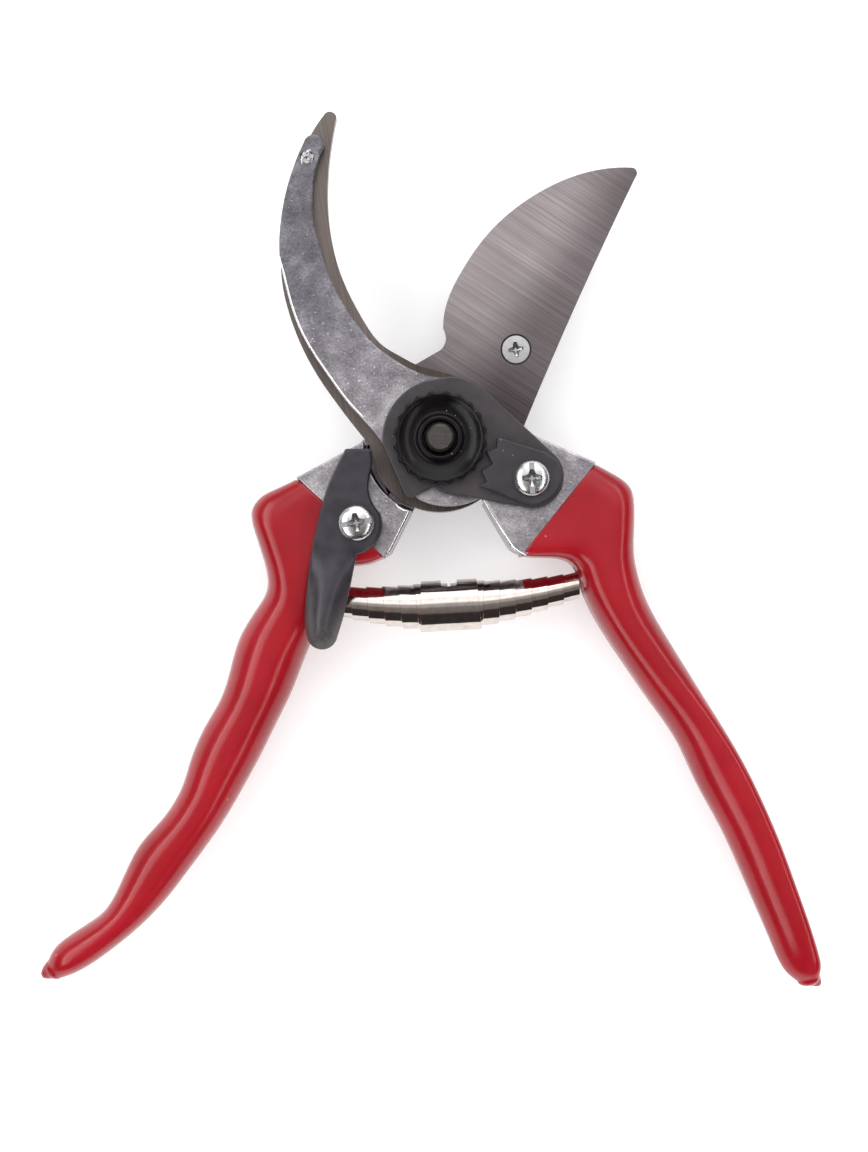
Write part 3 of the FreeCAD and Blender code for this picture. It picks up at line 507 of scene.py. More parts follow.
# Each station across a grip is its inner edge, its outer edge and its half height in millimetres, and how
# square the inner and outer sides of its section are (2 is an ellipse, and more is squarer).
HOOK_GRIP = [
    ((17.0, -24.5), (32.8, -4.8), 10.2, 9.0, 6.0),
    ((21.8, -24.8), (37.0, -7.0), 10.2, 7.0, 5.0),
    ((25.4, -25.0), (40.2, -9.3), 10.2, 5.6, 4.2),
    ((27.8, -25.9), (41.4, -12.6), 10.2, 4.4, 3.8),
    ((29.1, -27.4), (41.5, -17.4), 10.15, 3.6, 3.5),
    ((29.9, -29.8), (41.4, -22.8), 10.0, 3.1, 3.2),
    ((31.0, -33.2), (42.4, -28.6), 9.8, 2.8, 2.9),
    ((33.8, -38.9), (44.6, -34.6), 9.3, 2.5, 2.6),
    ((38.9, -46.8), (48.3, -41.2), 8.8, 2.4, 2.4),
    ((44.9, -55.5), (53.7, -50.0), 8.5, 2.3, 2.4),
    ((50.8, -64.1), (59.2, -59.0), 8.3, 2.3, 2.5),
    ((54.9, -72.7), (64.0, -67.3), 8.1, 2.3, 2.6),
    ((59.6, -81.4), (68.8, -77.0), 7.9, 2.3, 2.6),
    ((63.7, -90.0), (72.8, -86.4), 7.6, 2.3, 2.6),
    ((67.4, -98.6), (76.1, -95.3), 7.2, 2.3, 2.5),
    ((71.0, -107.0), (79.3, -104.3), 6.6, 2.2, 2.4),
    ((72.8, -111.2), (80.8, -108.9), 5.9, 2.1, 2.2),
    ((74.6, -114.0), (81.5, -112.0), 4.8, 2.0, 2.1),
    ((76.9, -115.9), (81.3, -114.6), 2.9, 2.0, 2.0),
]
BLADE_GRIP = [
    ((-11.7, -24.7), (-30.2, -8.0), 10.2, 9.0, 6.0),
    ((-15.0, -26.1), (-34.8, -10.1), 10.2, 7.0, 5.0),
    ((-19.3, -26.7), (-38.6, -12.2), 10.2, 5.6, 4.0),
    ((-22.0, -27.7), (-40.3, -15.3), 10.2, 4.6, 3.4),
    ((-23.1, -29.9), (-39.6, -19.3), 10.15, 3.8, 3.0),
    ((-23.8, -32.4), (-38.1, -24.0), 10.0, 3.3, 2.8),
    ((-24.6, -35.4), (-36.9, -29.3), 9.8, 2.9, 2.6),
    ((-26.5, -40.2), (-38.7, -34.8), 9.3, 2.6, 2.3),
    ((-29.2, -46.6), (-42.7, -41.3), 8.9, 2.3, 2.1),
    ((-32.0, -53.8), (-45.0, -48.6), 8.6, 2.2, 2.05),
    ((-35.2, -60.4), (-47.1, -55.0), 8.4, 2.2, 2.05),
    ((-38.9, -67.9), (-50.8, -61.6), 8.2, 2.2, 2.05),
    ((-42.4, -74.3), (-53.6, -68.3), 8.0, 2.2, 2.05),
    ((-45.6, -79.9), (-55.5, -74.1), 7.7, 2.2, 2.05),
    ((-49.6, -85.9), (-59.3, -80.4), 7.4, 2.2, 2.05),
    ((-54.4, -92.4), (-64.3, -86.2), 7.1, 2.2, 2.05),
    ((-58.8, -98.1), (-67.6, -92.3), 6.8, 2.2, 2.05),
    ((-63.6, -103.2), (-70.8, -98.8), 6.5, 2.2, 2.05),
    ((-69.6, -108.3), (-75.1, -103.0), 6.2, 2.2, 2.05),
    ((-75.0, -112.2), (-80.2, -106.4), 5.6, 2.1, 2.0),
    ((-78.9, -114.3), (-83.1, -109.1), 4.6, 2.0, 2.0),
    ((-81.5, -115.2), (-84.3, -111.4), 2.9, 2.0, 2.0),
]
GRIP_RINGS = 260
CAP_RINGS = 8
CAP_SHARE = 0.7  # how long the rounded end is, as a share of its half width
# The ridge starts to lean, and leans fully, at these shares of the grip's length.
LEAN_FROM, LEAN_FULL = 0.22, 0.62
HOOK_LEAN = 0.5
LIP_RINGS = 4
LIP_RADIUS = 0.35
LIP_DEPTH = 1.6
SEAT_RADIUS = 3.9
SEAT_FLAT = 0.78  # the share of the seat's radius that is flat
SEAT_REACH = 9.0
BEAD_HEIGHT = 1.7
BEAD_RADIUS = 1.6
HOOK_BEAD, HOOK_BEAD_WAY = (80.3, -114.9), (0.55, -0.83, 0)
BLADE_BEAD, BLADE_BEAD_WAY = (-83.7, -113.4), (-0.75, -0.62, 0)
SPRING_SEATS = {HOOK_SIDE: Vector((31.0, -30.2, 0)), BLADE_SIDE: Vector((-27.0, -33.3, 0))}


def across_and_onward(inner, outer):
    """The ways across a grip from one edge to the other, and along it away from the pivot."""
    across = (outer - inner).normalized()
    onward = Vector((across.y, -across.x, 0))
    return across, onward if onward.y < 0 else -onward


def grip_ring(row, inset=0.0, ahead=0.0):
    """One ring of points around a grip, pulled in by inset and moved ahead along the grip.

    A row's last number is how far the ridge leans outwards, as a share of the half width.
    """
    inner, outer = Vector((row[0], row[1], SHEAR)), Vector((row[2], row[3], SHEAR))
    half_height, square_in, square_out, lean = row[4:8]
    across, onward = across_and_onward(inner, outer)
    centre = (inner + outer) / 2 + onward * ahead
    half_width = (outer - inner).length / 2 - inset
    angles = np.linspace(0.0, 2 * math.pi, RING_POINTS, endpoint=False)
    square = np.where(np.cos(angles) > 0, square_out, square_in)
    side = power(np.cos(angles), 2 / square)
    reach = half_width * (side + lean * (1 - side**2))
    rise = (half_height - inset) * power(np.sin(angles), 2 / square)
    return np.array(centre) + np.outer(reach, across) + np.outer(rise, (0, 0, 1))


def grip(name, stations, body, node, bead, bead_way, lean):
    """A dipped coat: a rolled lip at its mouth, rings along it, a rounded end and the last drip's bead."""
    rows = curve_through([(*i, *o, h, a, b) for i, o, h, a, b in stations], GRIP_RINGS)
    leans = lean * smooth_step(LEAN_FROM, LEAN_FULL, np.linspace(0.0, 1.0, GRIP_RINGS))
    rows = np.column_stack((rows, leans))
    rings = [grip_ring(rows[0], LIP_DEPTH)]
    for k in range(LIP_RINGS):
        turn = k / (LIP_RINGS - 1) * math.pi / 2
        inset, ahead = LIP_RADIUS * (1 - math.sin(turn)), LIP_RADIUS * (1 - math.cos(turn))
        rings.append(grip_ring(rows[0], inset, ahead))
    rings += [grip_ring(row) for row in rows[1:]]
    last = rows[-1]
    half = math.hypot(last[2] - last[0], last[3] - last[1]) / 2
    for k in range(1, CAP_RINGS):
        turn = k / CAP_RINGS * math.pi / 2
        shrink = math.cos(turn)
        row = last.copy()
        middle = (last[0:2] + last[2:4]) / 2
        row[0:2] = middle + (last[0:2] - middle) * shrink
        row[2:4] = middle + (last[2:4] - middle) * shrink
        row[[4, 7]] *= shrink
        rings.append(grip_ring(row, 0.0, half * CAP_SHARE * math.sin(turn)))
    points = raise_bead(press_seat(np.array(rings), body), bead, bead_way)
    work = bmesh.new()
    rings = [[work.verts.new(p) for p in ring] for ring in points]
    join_rings(work, rings)
    work.faces.new(rings[0][::-1])
    work.faces.new(rings[-1])
    piece(name, shaded_mesh(work, name, 50.0), body, node, RED)


def press_seat(points, body):
    """Presses the round seat for the spring's end into the grip's inner wall."""
    seat = SPRING_SEATS[body]
    other = SPRING_SEATS[BLADE_SIDE if body == HOOK_SIDE else HOOK_SIDE]
    axis = np.array((other - seat).normalized())
    offset = points - np.array((seat.x, seat.y, SHEAR))
    depth = offset @ axis
    radial = np.linalg.norm(offset - depth[..., None] * axis, axis=-1)
    near = (depth > 0) & (depth < SEAT_REACH)
    pressed = near * depth * smooth_step(SEAT_RADIUS, SEAT_RADIUS * SEAT_FLAT, radial)
    return points - pressed[..., None] * axis


def raise_bead(points, bead, way):
    """Pulls out the bead that the last drip of coating leaves."""
    distance = np.linalg.norm(points - np.array((*bead, SHEAR)), axis=-1)
    swell = BEAD_HEIGHT * np.exp(-((distance / BEAD_RADIUS) ** 4))
    return points + swell[..., None] * np.array(Vector(way).normalized())


grip("hook_grip", HOOK_GRIP, HOOK_SIDE, "hook_handle_coating", HOOK_BEAD, HOOK_BEAD_WAY, HOOK_LEAN)
grip("blade_grip", BLADE_GRIP, BLADE_SIDE, "blade_handle_coating", BLADE_BEAD, BLADE_BEAD_WAY, 0.0)


# --- forgings ---

HIDDEN_RIVETS = ("counter_blade_left_rivet", "counter_blade_right_rivet")
HOLES = (BLADE_SCREW, SEGMENT_SCREW, LEVER_SCREW, TIP_RIVET, *map(centre_of, HIDDEN_RIVETS))
HOLE_ROOM = 2.6  # edges nearer a hole's middle than this belong to the hole
NECK_ROOM = 16.0  # edges nearer the pivot than this are under the plate and the blades
TANG_LEFT = 0.8
MOUTH_ROOM = 0.5  # edges further inside the coating than this stay sharp
LOW_CORNER = 1.4
WALL_CHAMFER = 0.75
BACK_CHAMFER = 0.45
RIM_CHAMFER = 0.4
# The stop walls' top, and how near to the middle line and how far from it they stand.
STOP_TOP, STOP_INNER, STOP_OUTER = -13.0, 4.0, 19.0
CORNER_TOP = -20.0
ARM_BACK, ARM_BACK_TOP = -10.0, 36.0  # the arm's lower back is left of the one and below the other


def cut_tang(work, mouth, onward):
    """Cuts a forging off inside its coating, just past the coating's mouth, and closes the cut."""
    everything = work.verts[:] + work.edges[:] + work.faces[:]
    cut = bmesh.ops.bisect_plane(
        work, geom=everything, plane_co=mouth + onward * TANG_LEFT, plane_no=onward, clear_outer=True)
    rim = [e for e in cut["geom_cut"] if isinstance(e, bmesh.types.BMEdge)]
    bmesh.ops.contextual_create(work, geom=rim)


def middle_of(edge):
    return (edge.verts[0].co + edge.verts[1].co) / 2


def wall_of(edge):
    """The steeper of the edge's two faces."""
    return min(edge.link_faces, key=lambda f: abs(f.normal.z))


def in_hole(edge):
    middle = middle_of(edge).to_2d()
    return middle.length < NECK_ROOM or any((middle - hole.to_2d()).length < HOLE_ROOM for hole in HOLES)


def is_rim(edge):
    """An edge between a face that looks up or down and an outer wall."""
    tilts = sorted(abs(f.normal.z) for f in edge.link_faces)
    return tilts[0] < STEEP and tilts[-1] > LEVEL and not in_hole(edge)


def is_stop_wall(edge):
    """A rim of the stop walls, which face each other below the pivot."""
    x, y, _ = middle_of(edge)
    return is_rim(edge) and y < STOP_TOP and STOP_INNER < abs(x) < STOP_OUTER


def is_arm_back(edge):
    """A rim of the hooked arm's lower back."""
    x, y, _ = middle_of(edge)
    return is_rim(edge) and x < ARM_BACK and 0.0 < y < ARM_BACK_TOP and wall_of(edge).normal.x < 0


def is_low_corner(edge):
    """An upright outer corner below the pivot, where a stop wall ends."""
    x, y, _ = middle_of(edge)
    upright = all(abs(f.normal.z) < 0.3 for f in edge.link_faces)
    tall = abs(edge.verts[0].co.z - edge.verts[1].co.z) > 1.0
    return upright and tall and y < CORNER_TOP and abs(x) < STOP_OUTER


def forging(node, body, stations):
    """A forging cut off inside its coating, with its low corners rounded and its rims broken."""
    inner, outer = (Vector((*edge, SHEAR)) for edge in stations[0][:2])
    mouth = (inner + outer) / 2
    onward = across_and_onward(inner, outer)[1]
    work = joined_copy(node)
    cut_tang(work, mouth, onward)

    def bare(pick):
        return lambda edge: all((v.co - mouth).dot(onward) < MOUTH_ROOM for v in edge.verts) and pick(edge)

    # The edges, how sharp they must be in degrees, and the width, segments and material of their bevel.
    rounds = (
        (is_low_corner, 40.0, LOW_CORNER, 4, 0),
        (is_stop_wall, 50.0, WALL_CHAMFER, 2, 1),
        # The arm's back takes the bright ground finish, partly as a painted highlight.
        (is_arm_back, 50.0, BACK_CHAMFER, 2, 1),
        (is_rim, 50.0, RIM_CHAMFER, 2, 0),
    )
    for pick, angle, width, segments, material in rounds:
        work.normal_update()
        bevel(work, sharp_edges(work, bare(pick), angle), width, segments, material, clamp=False)
    made = piece("eased_" + node, shaded_mesh(work, node + "_shape", 40.0), body, node, FORGED, POLISHED_AND_HIGHLIT)
    keep_flats_flat(made)


forging("hook_handle_forging", HOOK_SIDE, HOOK_GRIP)
forging("blade_handle_forging", BLADE_SIDE, BLADE_GRIP)


# --- blades ---

SINK_RADIUS = 4.0
SUNK_SLOT = 2
ARM_EDGE_LOW = 16.0  # the hooked edge starts this far above the pivot

blade = eased("cutting_blade", BLADE_SIDE, BLADE_STEEL, width=0.12, segments=1, edge_material=EDGE_STEEL)
# The sides of the countersink round the blade's screw are painted near-black, as painted shadow.
blade.data.materials.append(COUNTERSINK_PAINTED_SHADOW)
for face in blade.data.polygons:
    if (face.center.to_2d() / MM - BLADE_SCREW.to_2d()).length < SINK_RADIUS and abs(face.normal.z) < 0.95:
        face.material_index = SUNK_SLOT


def is_cutting_rim(edge):
    """The hooked edge of the counter-blade, on the side of the arm."""
    high = all(v.co.z > SHEAR + 1.0 for v in edge.verts)
    return high and is_rim(edge) and wall_of(edge).normal.x > 0.15 and edge.verts[0].co.y > ARM_EDGE_LOW


eased("counter_blade", HOOK_SIDE, COUNTER_STEEL, width=0.7, segments=1, pick=is_cutting_rim,
      edge_material=COUNTER_EDGE)
for rivet in HIDDEN_RIVETS:
    eased(rivet, HOOK_SIDE, FORGED, width=0.15, segments=2)

PEEN_RINGS = 12
PEEN_SIDES = 48
PEEN_LEAN = math.radians(-14.0)
# The dome's half width and half length, its shift down from the rivet's middle, its rise, and how far its
# rim is sunk.
PEEN_WIDE, PEEN_LONG, PEEN_SHIFT, PEEN_RISE, PEEN_SUNK = 1.6, 2.75, 0.55, 0.60, 0.03
# Dents that the staking punch left: place round the rivet's middle, radius and depth.
PEEN_DENTS = (
    (-0.5, 0.9, 0.75, 0.42), (0.65, 0.75, 0.6, 0.36), (0.05, -0.5, 0.6, 0.36), (-0.1, -2.1, 0.5, 0.16),
)


def peened_rivet():
    """The tip rivet with its head beaten over in a low, lumpy dome."""
    low, high = node_box("counter_blade_tip_rivet")
    lean = Matrix.Rotation(PEEN_LEAN, 2)
    work = bmesh.new()
    rings = []
    for k in range(PEEN_RINGS + 1):
        reach = 1 - k / PEEN_RINGS
        ring = []
        for j in range(PEEN_SIDES):
            a = 2 * math.pi * j / PEEN_SIDES
            place = Vector((PEEN_WIDE * reach * math.cos(a), PEEN_LONG * reach * math.sin(a) - PEEN_SHIFT))
            rise = PEEN_RISE * (1 - reach**2.6) ** 0.7 - PEEN_SUNK
            for x, y, size, depth in PEEN_DENTS:
                rise -= depth * math.exp(-2 * (place - Vector((x, y))).length_squared / size**2)
            x, y = TIP_RIVET.to_2d() + lean @ place
            ring.append(work.verts.new((x, y, high.z + rise)))
        rings.append(ring)
    foot = [work.verts.new((v.co.x, v.co.y, low.z)) for v in rings[0]]
    join_rings(work, [foot] + rings)
    work.faces.new(foot[::-1])
    bmesh.ops.remove_doubles(work, verts=work.verts, dist=SEAM / 2)
    mesh = shaded_mesh(work, "peened_shape", 50.0)
    piece("peened_tip_rivet", mesh, HOOK_SIDE, "counter_blade_tip_rivet", RIVET_STEEL)


peened_rivet()


# --- lock plate, nut and segment ---

eased("lock_plate", HOOK_SIDE, PLATE_BLACK, width=0.35, segments=2)
eased("pivot_washer", HOOK_SIDE, ZINC, width=0.1, segments=2)
eased("pivot_bolt", HOOK_SIDE, BOLT_STEEL, width=0.4, segments=3)
eased("toothed_segment", HOOK_SIDE, SEGMENT_BLACK, width=0.15, segments=2)

NUT_TEETH = 20
NUT_SIDES = NUT_TEETH * 16  # points round the nut
NUT_SCALLOP, SCALLOP_POWER = 0.55, 1.2
FIRST_TOOTH = math.radians(-16.0)
# The nut's section: radius, height over the plate, and how much of the scallop it has.
NUT_PROFILE = [
    (3.5, 0.0, 0), (9.0, 0.0, 1), (9.75, 0.1, 1), (9.9, 0.4, 1), (9.9, 2.7, 1), (9.82, 3.0, 1),
    (9.6, 3.2, 0.9), (9.3, 3.28, 0.55), (8.9, 3.27, 0.1), (8.6, 3.15, 0), (8.2, 2.85, 0), (7.6, 2.45, 0),
    (6.6, 1.95, 0), (5.8, 1.75, 0), (5.3, 1.75, 0), (5.0, 1.95, 0), (4.75, 2.45, 0), (4.5, 2.72, 0),
    (4.2, 2.82, 0), (3.9, 2.78, 0), (3.65, 2.6, 0), (3.5, 2.2, 0),
]


def scallop(angle):
    """How far the nut's rim dips at this angle: sharp crests between round dips."""
    phase = (angle - FIRST_TOOTH) * NUT_TEETH / 2
    return NUT_SCALLOP * abs(math.cos(phase)) ** SCALLOP_POWER


def nut_mesh():
    """The nut's section turned round the pivot, scalloped at its rim."""
    work = bmesh.new()
    rings = []
    for radius, height, share in NUT_PROFILE:
        ring = []
        for j in range(NUT_SIDES):
            a = 2 * math.pi * j / NUT_SIDES
            r = radius - share * scallop(a)
            ring.append(work.verts.new((r * math.cos(a), r * math.sin(a), PLATE_TOP + height)))
        rings.append(ring)
    join_rings(work, rings, closed=True)
    return shaded_mesh(work, "nut_shape", 38.0)


piece("dished_nut", nut_mesh(), HOOK_SIDE, "toothed_nut", NUT_BLACK)


# --- screws ---

DOME_STEPS = 14
DOME_FULLNESS = 2 / 2.3
SCREW_SIDES = 96
PAN_HEIGHT = 2.3
PAN_BRIM = 0.5  # the height of the pan head's upright rim
PAN_EASE = 0.15
SHANK = 2.0
LEVER_SHOULDER = 2.6
SEGMENT_TURN, LEVER_TURN, BLADE_TURN = (math.radians(turn) for turn in (92.0, 10.0, 8.0))
PAD_FACE = node_box("lever_spring_washer")[0].z
# A cross is its length, width and depth, and a slot its width and depth.
PAN_CROSS = (4.3, 1.1, 1.7)
PAN_SLOT = (1.1, 0.75)
FLAT_CROSS = (3.4, 0.85, 1.2)
SLOT_LENGTH = 10.0
RECESS_ROOM = 0.1  # faces this far outside a recess still belong to it


def turned_mesh(profile, name):
    """A turned solid whose section starts and ends on the axis, in millimetres."""
    work = bmesh.new()
    bottom = work.verts.new((0, 0, profile[0][1]))
    top = work.verts.new((0, 0, profile[-1][1]))
    angles = [2 * math.pi * j / SCREW_SIDES for j in range(SCREW_SIDES)]
    rings = [
        [work.verts.new((radius * math.cos(a), radius * math.sin(a), height)) for a in angles]
        for radius, height in profile[1:-1]
    ]
    join_rings(work, rings)
    for j in range(SCREW_SIDES):
        work.faces.new((bottom, rings[0][j], rings[0][j - 1]))
        work.faces.new((top, rings[-1][j - 1], rings[-1][j]))
    return plain_mesh(work, name)


def cross_cutter(length, width, top, depth):
    """A cross that narrows downwards, for cutting a screw's recess."""
    a, b = length / 2, width / 2
    corner = [(a, b * 0.8), (b * 1.5, b * 1.5), (b * 0.8, a)]
    outline = []
    for k in range(4):
        turn = Matrix.Rotation(k * math.pi / 2, 2)
        outline += [turn @ Vector(p) for p in corner]
    work = bmesh.new()
    levels = [(top + 1.0, 1.15), (top - depth * 0.55, 0.82), (top - depth, 0.3)]
    rings = [[work.verts.new((p.x * scale, p.y * scale, z)) for p in outline] for z, scale in levels]
    join_rings(work, rings)
    work.faces.new(rings[0])
    work.faces.new(rings[-1][::-1])
    return plain_mesh(work, "cross")


def slot_cutter(width, top, depth):
    """A slot right across a screw's head."""
    work = bmesh.new()
    bmesh.ops.create_cube(work, size=1.0)
    bmesh.ops.scale(work, vec=(SLOT_LENGTH, width, 2 * depth), verts=work.verts)
    bmesh.ops.translate(work, vec=(0, 0, top), verts=work.verts)
    return plain_mesh(work, "slot")


def subtracted(mesh, cutter, name):
    """The mesh with the cutter's shape taken out of it."""
    body = bpy.data.objects.new(name, mesh)
    tool = bpy.data.objects.new(name + "_tool", cutter)
    for made in (body, tool):
        bpy.context.scene.collection.objects.link(made)
    cut = body.modifiers.new("recess", "BOOLEAN")
    cut.operation = "DIFFERENCE"
    cut.solver = "EXACT"
    cut.object = tool
    view = bpy.context.evaluated_depsgraph_get()
    result = bpy.data.meshes.new_from_object(body.evaluated_get(view))
    bpy.data.objects.remove(body)
    bpy.data.objects.remove(tool)
    return result


def screw(name, node, body, profile, cross, turn, slot=None):
    """A screw with a cross recess, and a slot if given, standing where its node stands."""
    place = centre_of(node)
    length, width, depth = cross
    top = profile[-1][1]
    mesh = subtracted(turned_mesh(profile, name), cross_cutter(length, width, top, depth), name)
    if slot:
        mesh = subtracted(mesh, slot_cutter(slot[0], top, slot[1]), name)
    work = bmesh.new()
    work.from_mesh(mesh)
    bmesh.ops.remove_doubles(work, verts=work.verts, dist=SEAM)
    bmesh.ops.transform(work, matrix=Matrix.Rotation(turn, 4, "Z"), verts=work.verts)
    bmesh.ops.translate(work, vec=(place.x, place.y, 0), verts=work.verts)
    made = piece(name, shaded_mesh(work, name + "_shape", 24.0), body, node, ZINC, RECESS_PAINTED_SHADE)
    # Painted shade: the steep walls of the recess take the darker steel.
    for face in made.data.polygons:
        centre = face.center / MM
        near = (centre.to_2d() - place.to_2d()).length < length / 2 + RECESS_ROOM
        if near and centre.z > top - depth - RECESS_ROOM and abs(face.normal.z) < 0.8:
            face.material_index = 1


def pan_profile(node, shoulder=()):
    """The section of a pan-head screw, at its node's height. Shoulder is points between shank and head."""
    low, high = node_box(node)
    radius = (high.x - low.x) / 2
    foot = high.z - PAN_HEIGHT
    neck = shoulder[-1][0] if shoulder else SHANK
    profile = [(0, low.z), (SHANK, low.z), *shoulder, (neck, foot), (radius - PAN_EASE, foot),
               (radius, foot + PAN_EASE)]
    for k in range(DOME_STEPS):
        a = k / DOME_STEPS * math.pi / 2
        rise = (PAN_HEIGHT - PAN_BRIM) * math.sin(a) ** DOME_FULLNESS
        profile.append((radius * math.cos(a) ** DOME_FULLNESS, foot + PAN_BRIM + rise))
    profile.append((0, high.z))
    return profile


LEVER_STEP = ((SHANK, PAD_FACE), (LEVER_SHOULDER, PAD_FACE))
# The section of the blade's countersunk screw: the radius and height of each point.
FLAT_HEAD = [
    (0, 4.1), (2.0, 4.1), (2.0, SHEAR - 1.6), (3.0, SHEAR - 0.6), (3.05, SHEAR - 0.2),
    (2.95, SHEAR - 0.06), (1.5, SHEAR - 0.02), (0, SHEAR - 0.02),
]
screw("segment_pan_screw", "segment_screw", HOOK_SIDE, pan_profile("segment_screw"), PAN_CROSS,
      SEGMENT_TURN, PAN_SLOT)
screw("lever_pan_screw", "lock_lever_screw", BLADE_SIDE, pan_profile("lock_lever_screw", LEVER_STEP),
      PAN_CROSS, LEVER_TURN, PAN_SLOT)
screw("blade_flat_screw", "blade_screw", BLADE_SIDE, FLAT_HEAD, FLAT_CROSS, BLADE_TURN)
eased("lever_spring_washer", BLADE_SIDE, ZINC, width=0.05, segments=1)


# --- lock lever ---

LEVER_POINTS = 300
LEVER_SPINE = (Vector((-18.6, -9.0)), Vector((-24.4, -37.6)))
# How far in from the rim each ring lies, as a share of the way to the lever's middle line.
LEVER_RINGS = (0.0, 0.02, 0.045, 0.08, 0.13, 0.2, 0.3, 0.42, 0.55, 0.7, 0.85, 1.0)
LEVER_THICK = 3.2
LEVER_EASE, EASE_SHARE = 0.55, 0.08
THUMB_RISE = 1.6
THUMB_DROP, DROP_POWER = 4.0, 2.1
# How far down the lever its rim begins to round off, its top begins to rise, and both are complete.
THUMB_START, RISE_START, THUMB_FULL = -21.0, -24.0, -36.0


def rim_of(node, level):
    """The longest closed line of sharp edges that a node has at this height, as points in order."""
    work = joined_copy(node)
    edges = sharp_edges(work, at_level(level))
    loops = []
    while edges:
        edge = edges.pop()
        first, here = edge.verts
        loop = [first.co.copy()]
        while here is not first:
            loop.append(here.co.copy())
            edge = next(e for e in here.link_edges if e in edges)
            edges.remove(edge)
            here = edge.other_vert(here)
        loops.append(loop)
    work.free()
    return max(loops, key=lambda loop: sum((a - b).length for a, b in zip(loop, loop[1:])))


def evenly(loop, count):
    """The same closed line with points at even distances."""
    points = np.array([p[:] for p in loop + loop[:1]])
    steps = np.concatenate(([0.0], np.cumsum(np.linalg.norm(np.diff(points, axis=0), axis=1))))
    wanted = np.linspace(0.0, steps[-1], count, endpoint=False)
    return [Vector([float(np.interp(s, steps, points[:, axis])) for axis in range(3)]) for s in wanted]


def lever_height(place, share):
    """The lever's top: flat with a broken edge at its upper end, and a rounded thumb rest at its lower."""
    thumb = smooth_step(THUMB_START, THUMB_FULL, place.y)
    top = LEVER_FLOOR + LEVER_THICK + THUMB_RISE * smooth_step(RISE_START, THUMB_FULL, place.y)
    broken = LEVER_EASE * max(0.0, 1 - share / EASE_SHARE)
    domed = THUMB_DROP * (1 - share) ** DROP_POWER
    return top - broken * (1 - thumb) - domed * thumb


def lever_mesh():
    """The lever: its node's own outline at the bottom, and rings that climb to its middle line."""
    rim = evenly(rim_of("lock_lever", LEVER_FLOOR), LEVER_POINTS)
    start, end = LEVER_SPINE
    along = end - start
    work = bmesh.new()
    rings = [[work.verts.new(p) for p in rim]]
    for share in LEVER_RINGS:
        ring = []
        for p in rim:
            t = min(max((p.to_2d() - start).dot(along) / along.length_squared, 0.0), 1.0)
            place = p.to_2d().lerp(start + along * t, share)
            ring.append(work.verts.new((place.x, place.y, lever_height(place, share))))
        rings.append(ring)
    join_rings(work, rings)
    work.faces.new(rings[0][::-1])
    bmesh.ops.remove_doubles(work, verts=work.verts, dist=SEAM / 2)
    return shaded_mesh(work, "lever_shape", 38.0)


piece("thumb_lever", lever_mesh(), LEVER_SIDE, "lock_lever", LEVER_BLACK)


# --- volute spring ---

SPRING_SAG = 3.4
SLEEVE_LENGTH = 12.5
SLEEVE_RADIUS = 5.5
STRIP_THICK = 0.3
STRIP_WIDTH = 8.0
STRIP_EASE = 0.04
STRIP_GAP = 0.06
MIDDLE_GAP = 0.3  # from the middle of the sleeve to where each strip starts
RADIAL_STEP = 0.37  # from one turn to the next
AXIAL_STEP = 3.5
STEPS_PER_TURN = 72
SLEEVE_SLICES = 120
NOTCH_WIDTH = 3.6
NOTCH_FLOOR = 0.4  # how deep the notch's straight sides end in the sleeve
NOTCH_BULGE = 0.9  # how much deeper its rounded floor goes
NOTCH_STEPS = 12
NOTCH_TOP, NOTCH_HALF_DEPTH = 8.0, 4.5  # how far the tool that cuts it reaches


class SpringAxis:
    """The arc that the spring's axis follows between its two seats."""

    def __init__(self):
        left, right = SPRING_SEATS[BLADE_SIDE], SPRING_SEATS[HOOK_SIDE]
        half = (right - left).length / 2  # half the straight line between the seats
        self.radius = (half * half + SPRING_SAG * SPRING_SAG) / (2 * SPRING_SAG)
        along = (right - left).normalized()
        self.centre = (left + right) / 2 + Vector((-along.y, along.x, 0)) * (self.radius - SPRING_SAG)
        start = math.atan2(left.y - self.centre.y, left.x - self.centre.x)
        end = math.atan2(right.y - self.centre.y, right.x - self.centre.x)
        self.middle = (start + end) / 2
        self.half_length = self.radius * (end - start) / 2

    def place(self, distance, radius, angle):
        """A point this far along the axis, this far off it, and at this angle round it."""
        a = self.middle + distance / self.radius
        outward = Vector((math.cos(a), math.sin(a), 0))
        off = outward * (radius * math.cos(angle)) + Vector((0, 0, radius * math.sin(angle)))
        return self.centre + outward * self.radius + off + Vector((0, 0, SHEAR))


def swept(work, sections, closed):
    """Joins sections of points into a tube. Open tubes get an end face at each end."""
    rings = [[work.verts.new(p) for p in section] for section in sections]
    join_rings(work, rings, closed)
    if not closed:
        work.faces.new(rings[0][::-1])
        work.faces.new(rings[-1])


def strip_section(axis, near, far, radius, angle, side):
    """A strip's section, with its outer corners rounded off."""
    inside, shoulder = radius - STRIP_THICK, radius - STRIP_EASE
    corners = (
        (far, inside), (far, shoulder), (far - STRIP_EASE, radius), (near + STRIP_EASE, radius),
        (near, shoulder), (near, inside),
    )
    return [axis.place(side * x, r, angle) for x, r in corners]


def notch_cutter(axis):
    """A prism with a round-cornered U for its outline, over the sleeve's side towards the pivot."""
    half = NOTCH_WIDTH / 2
    outline = [(half, -NOTCH_TOP), (-half, -NOTCH_TOP)]
    for k in range(NOTCH_STEPS + 1):
        a = math.pi * k / NOTCH_STEPS
        floor = NOTCH_FLOOR - SLEEVE_RADIUS + NOTCH_BULGE * power(math.sin(a), 0.5)
        outline.append((-half * power(math.cos(a), 0.5), floor))
    work = bmesh.new()
    levels = [Vector((0, 0, rise)) for rise in (-NOTCH_HALF_DEPTH, NOTCH_HALF_DEPTH)]
    swept(work, [[axis.place(x, y, 0.0) + level for x, y in outline] for level in levels], False)
    return plain_mesh(work, "notch")


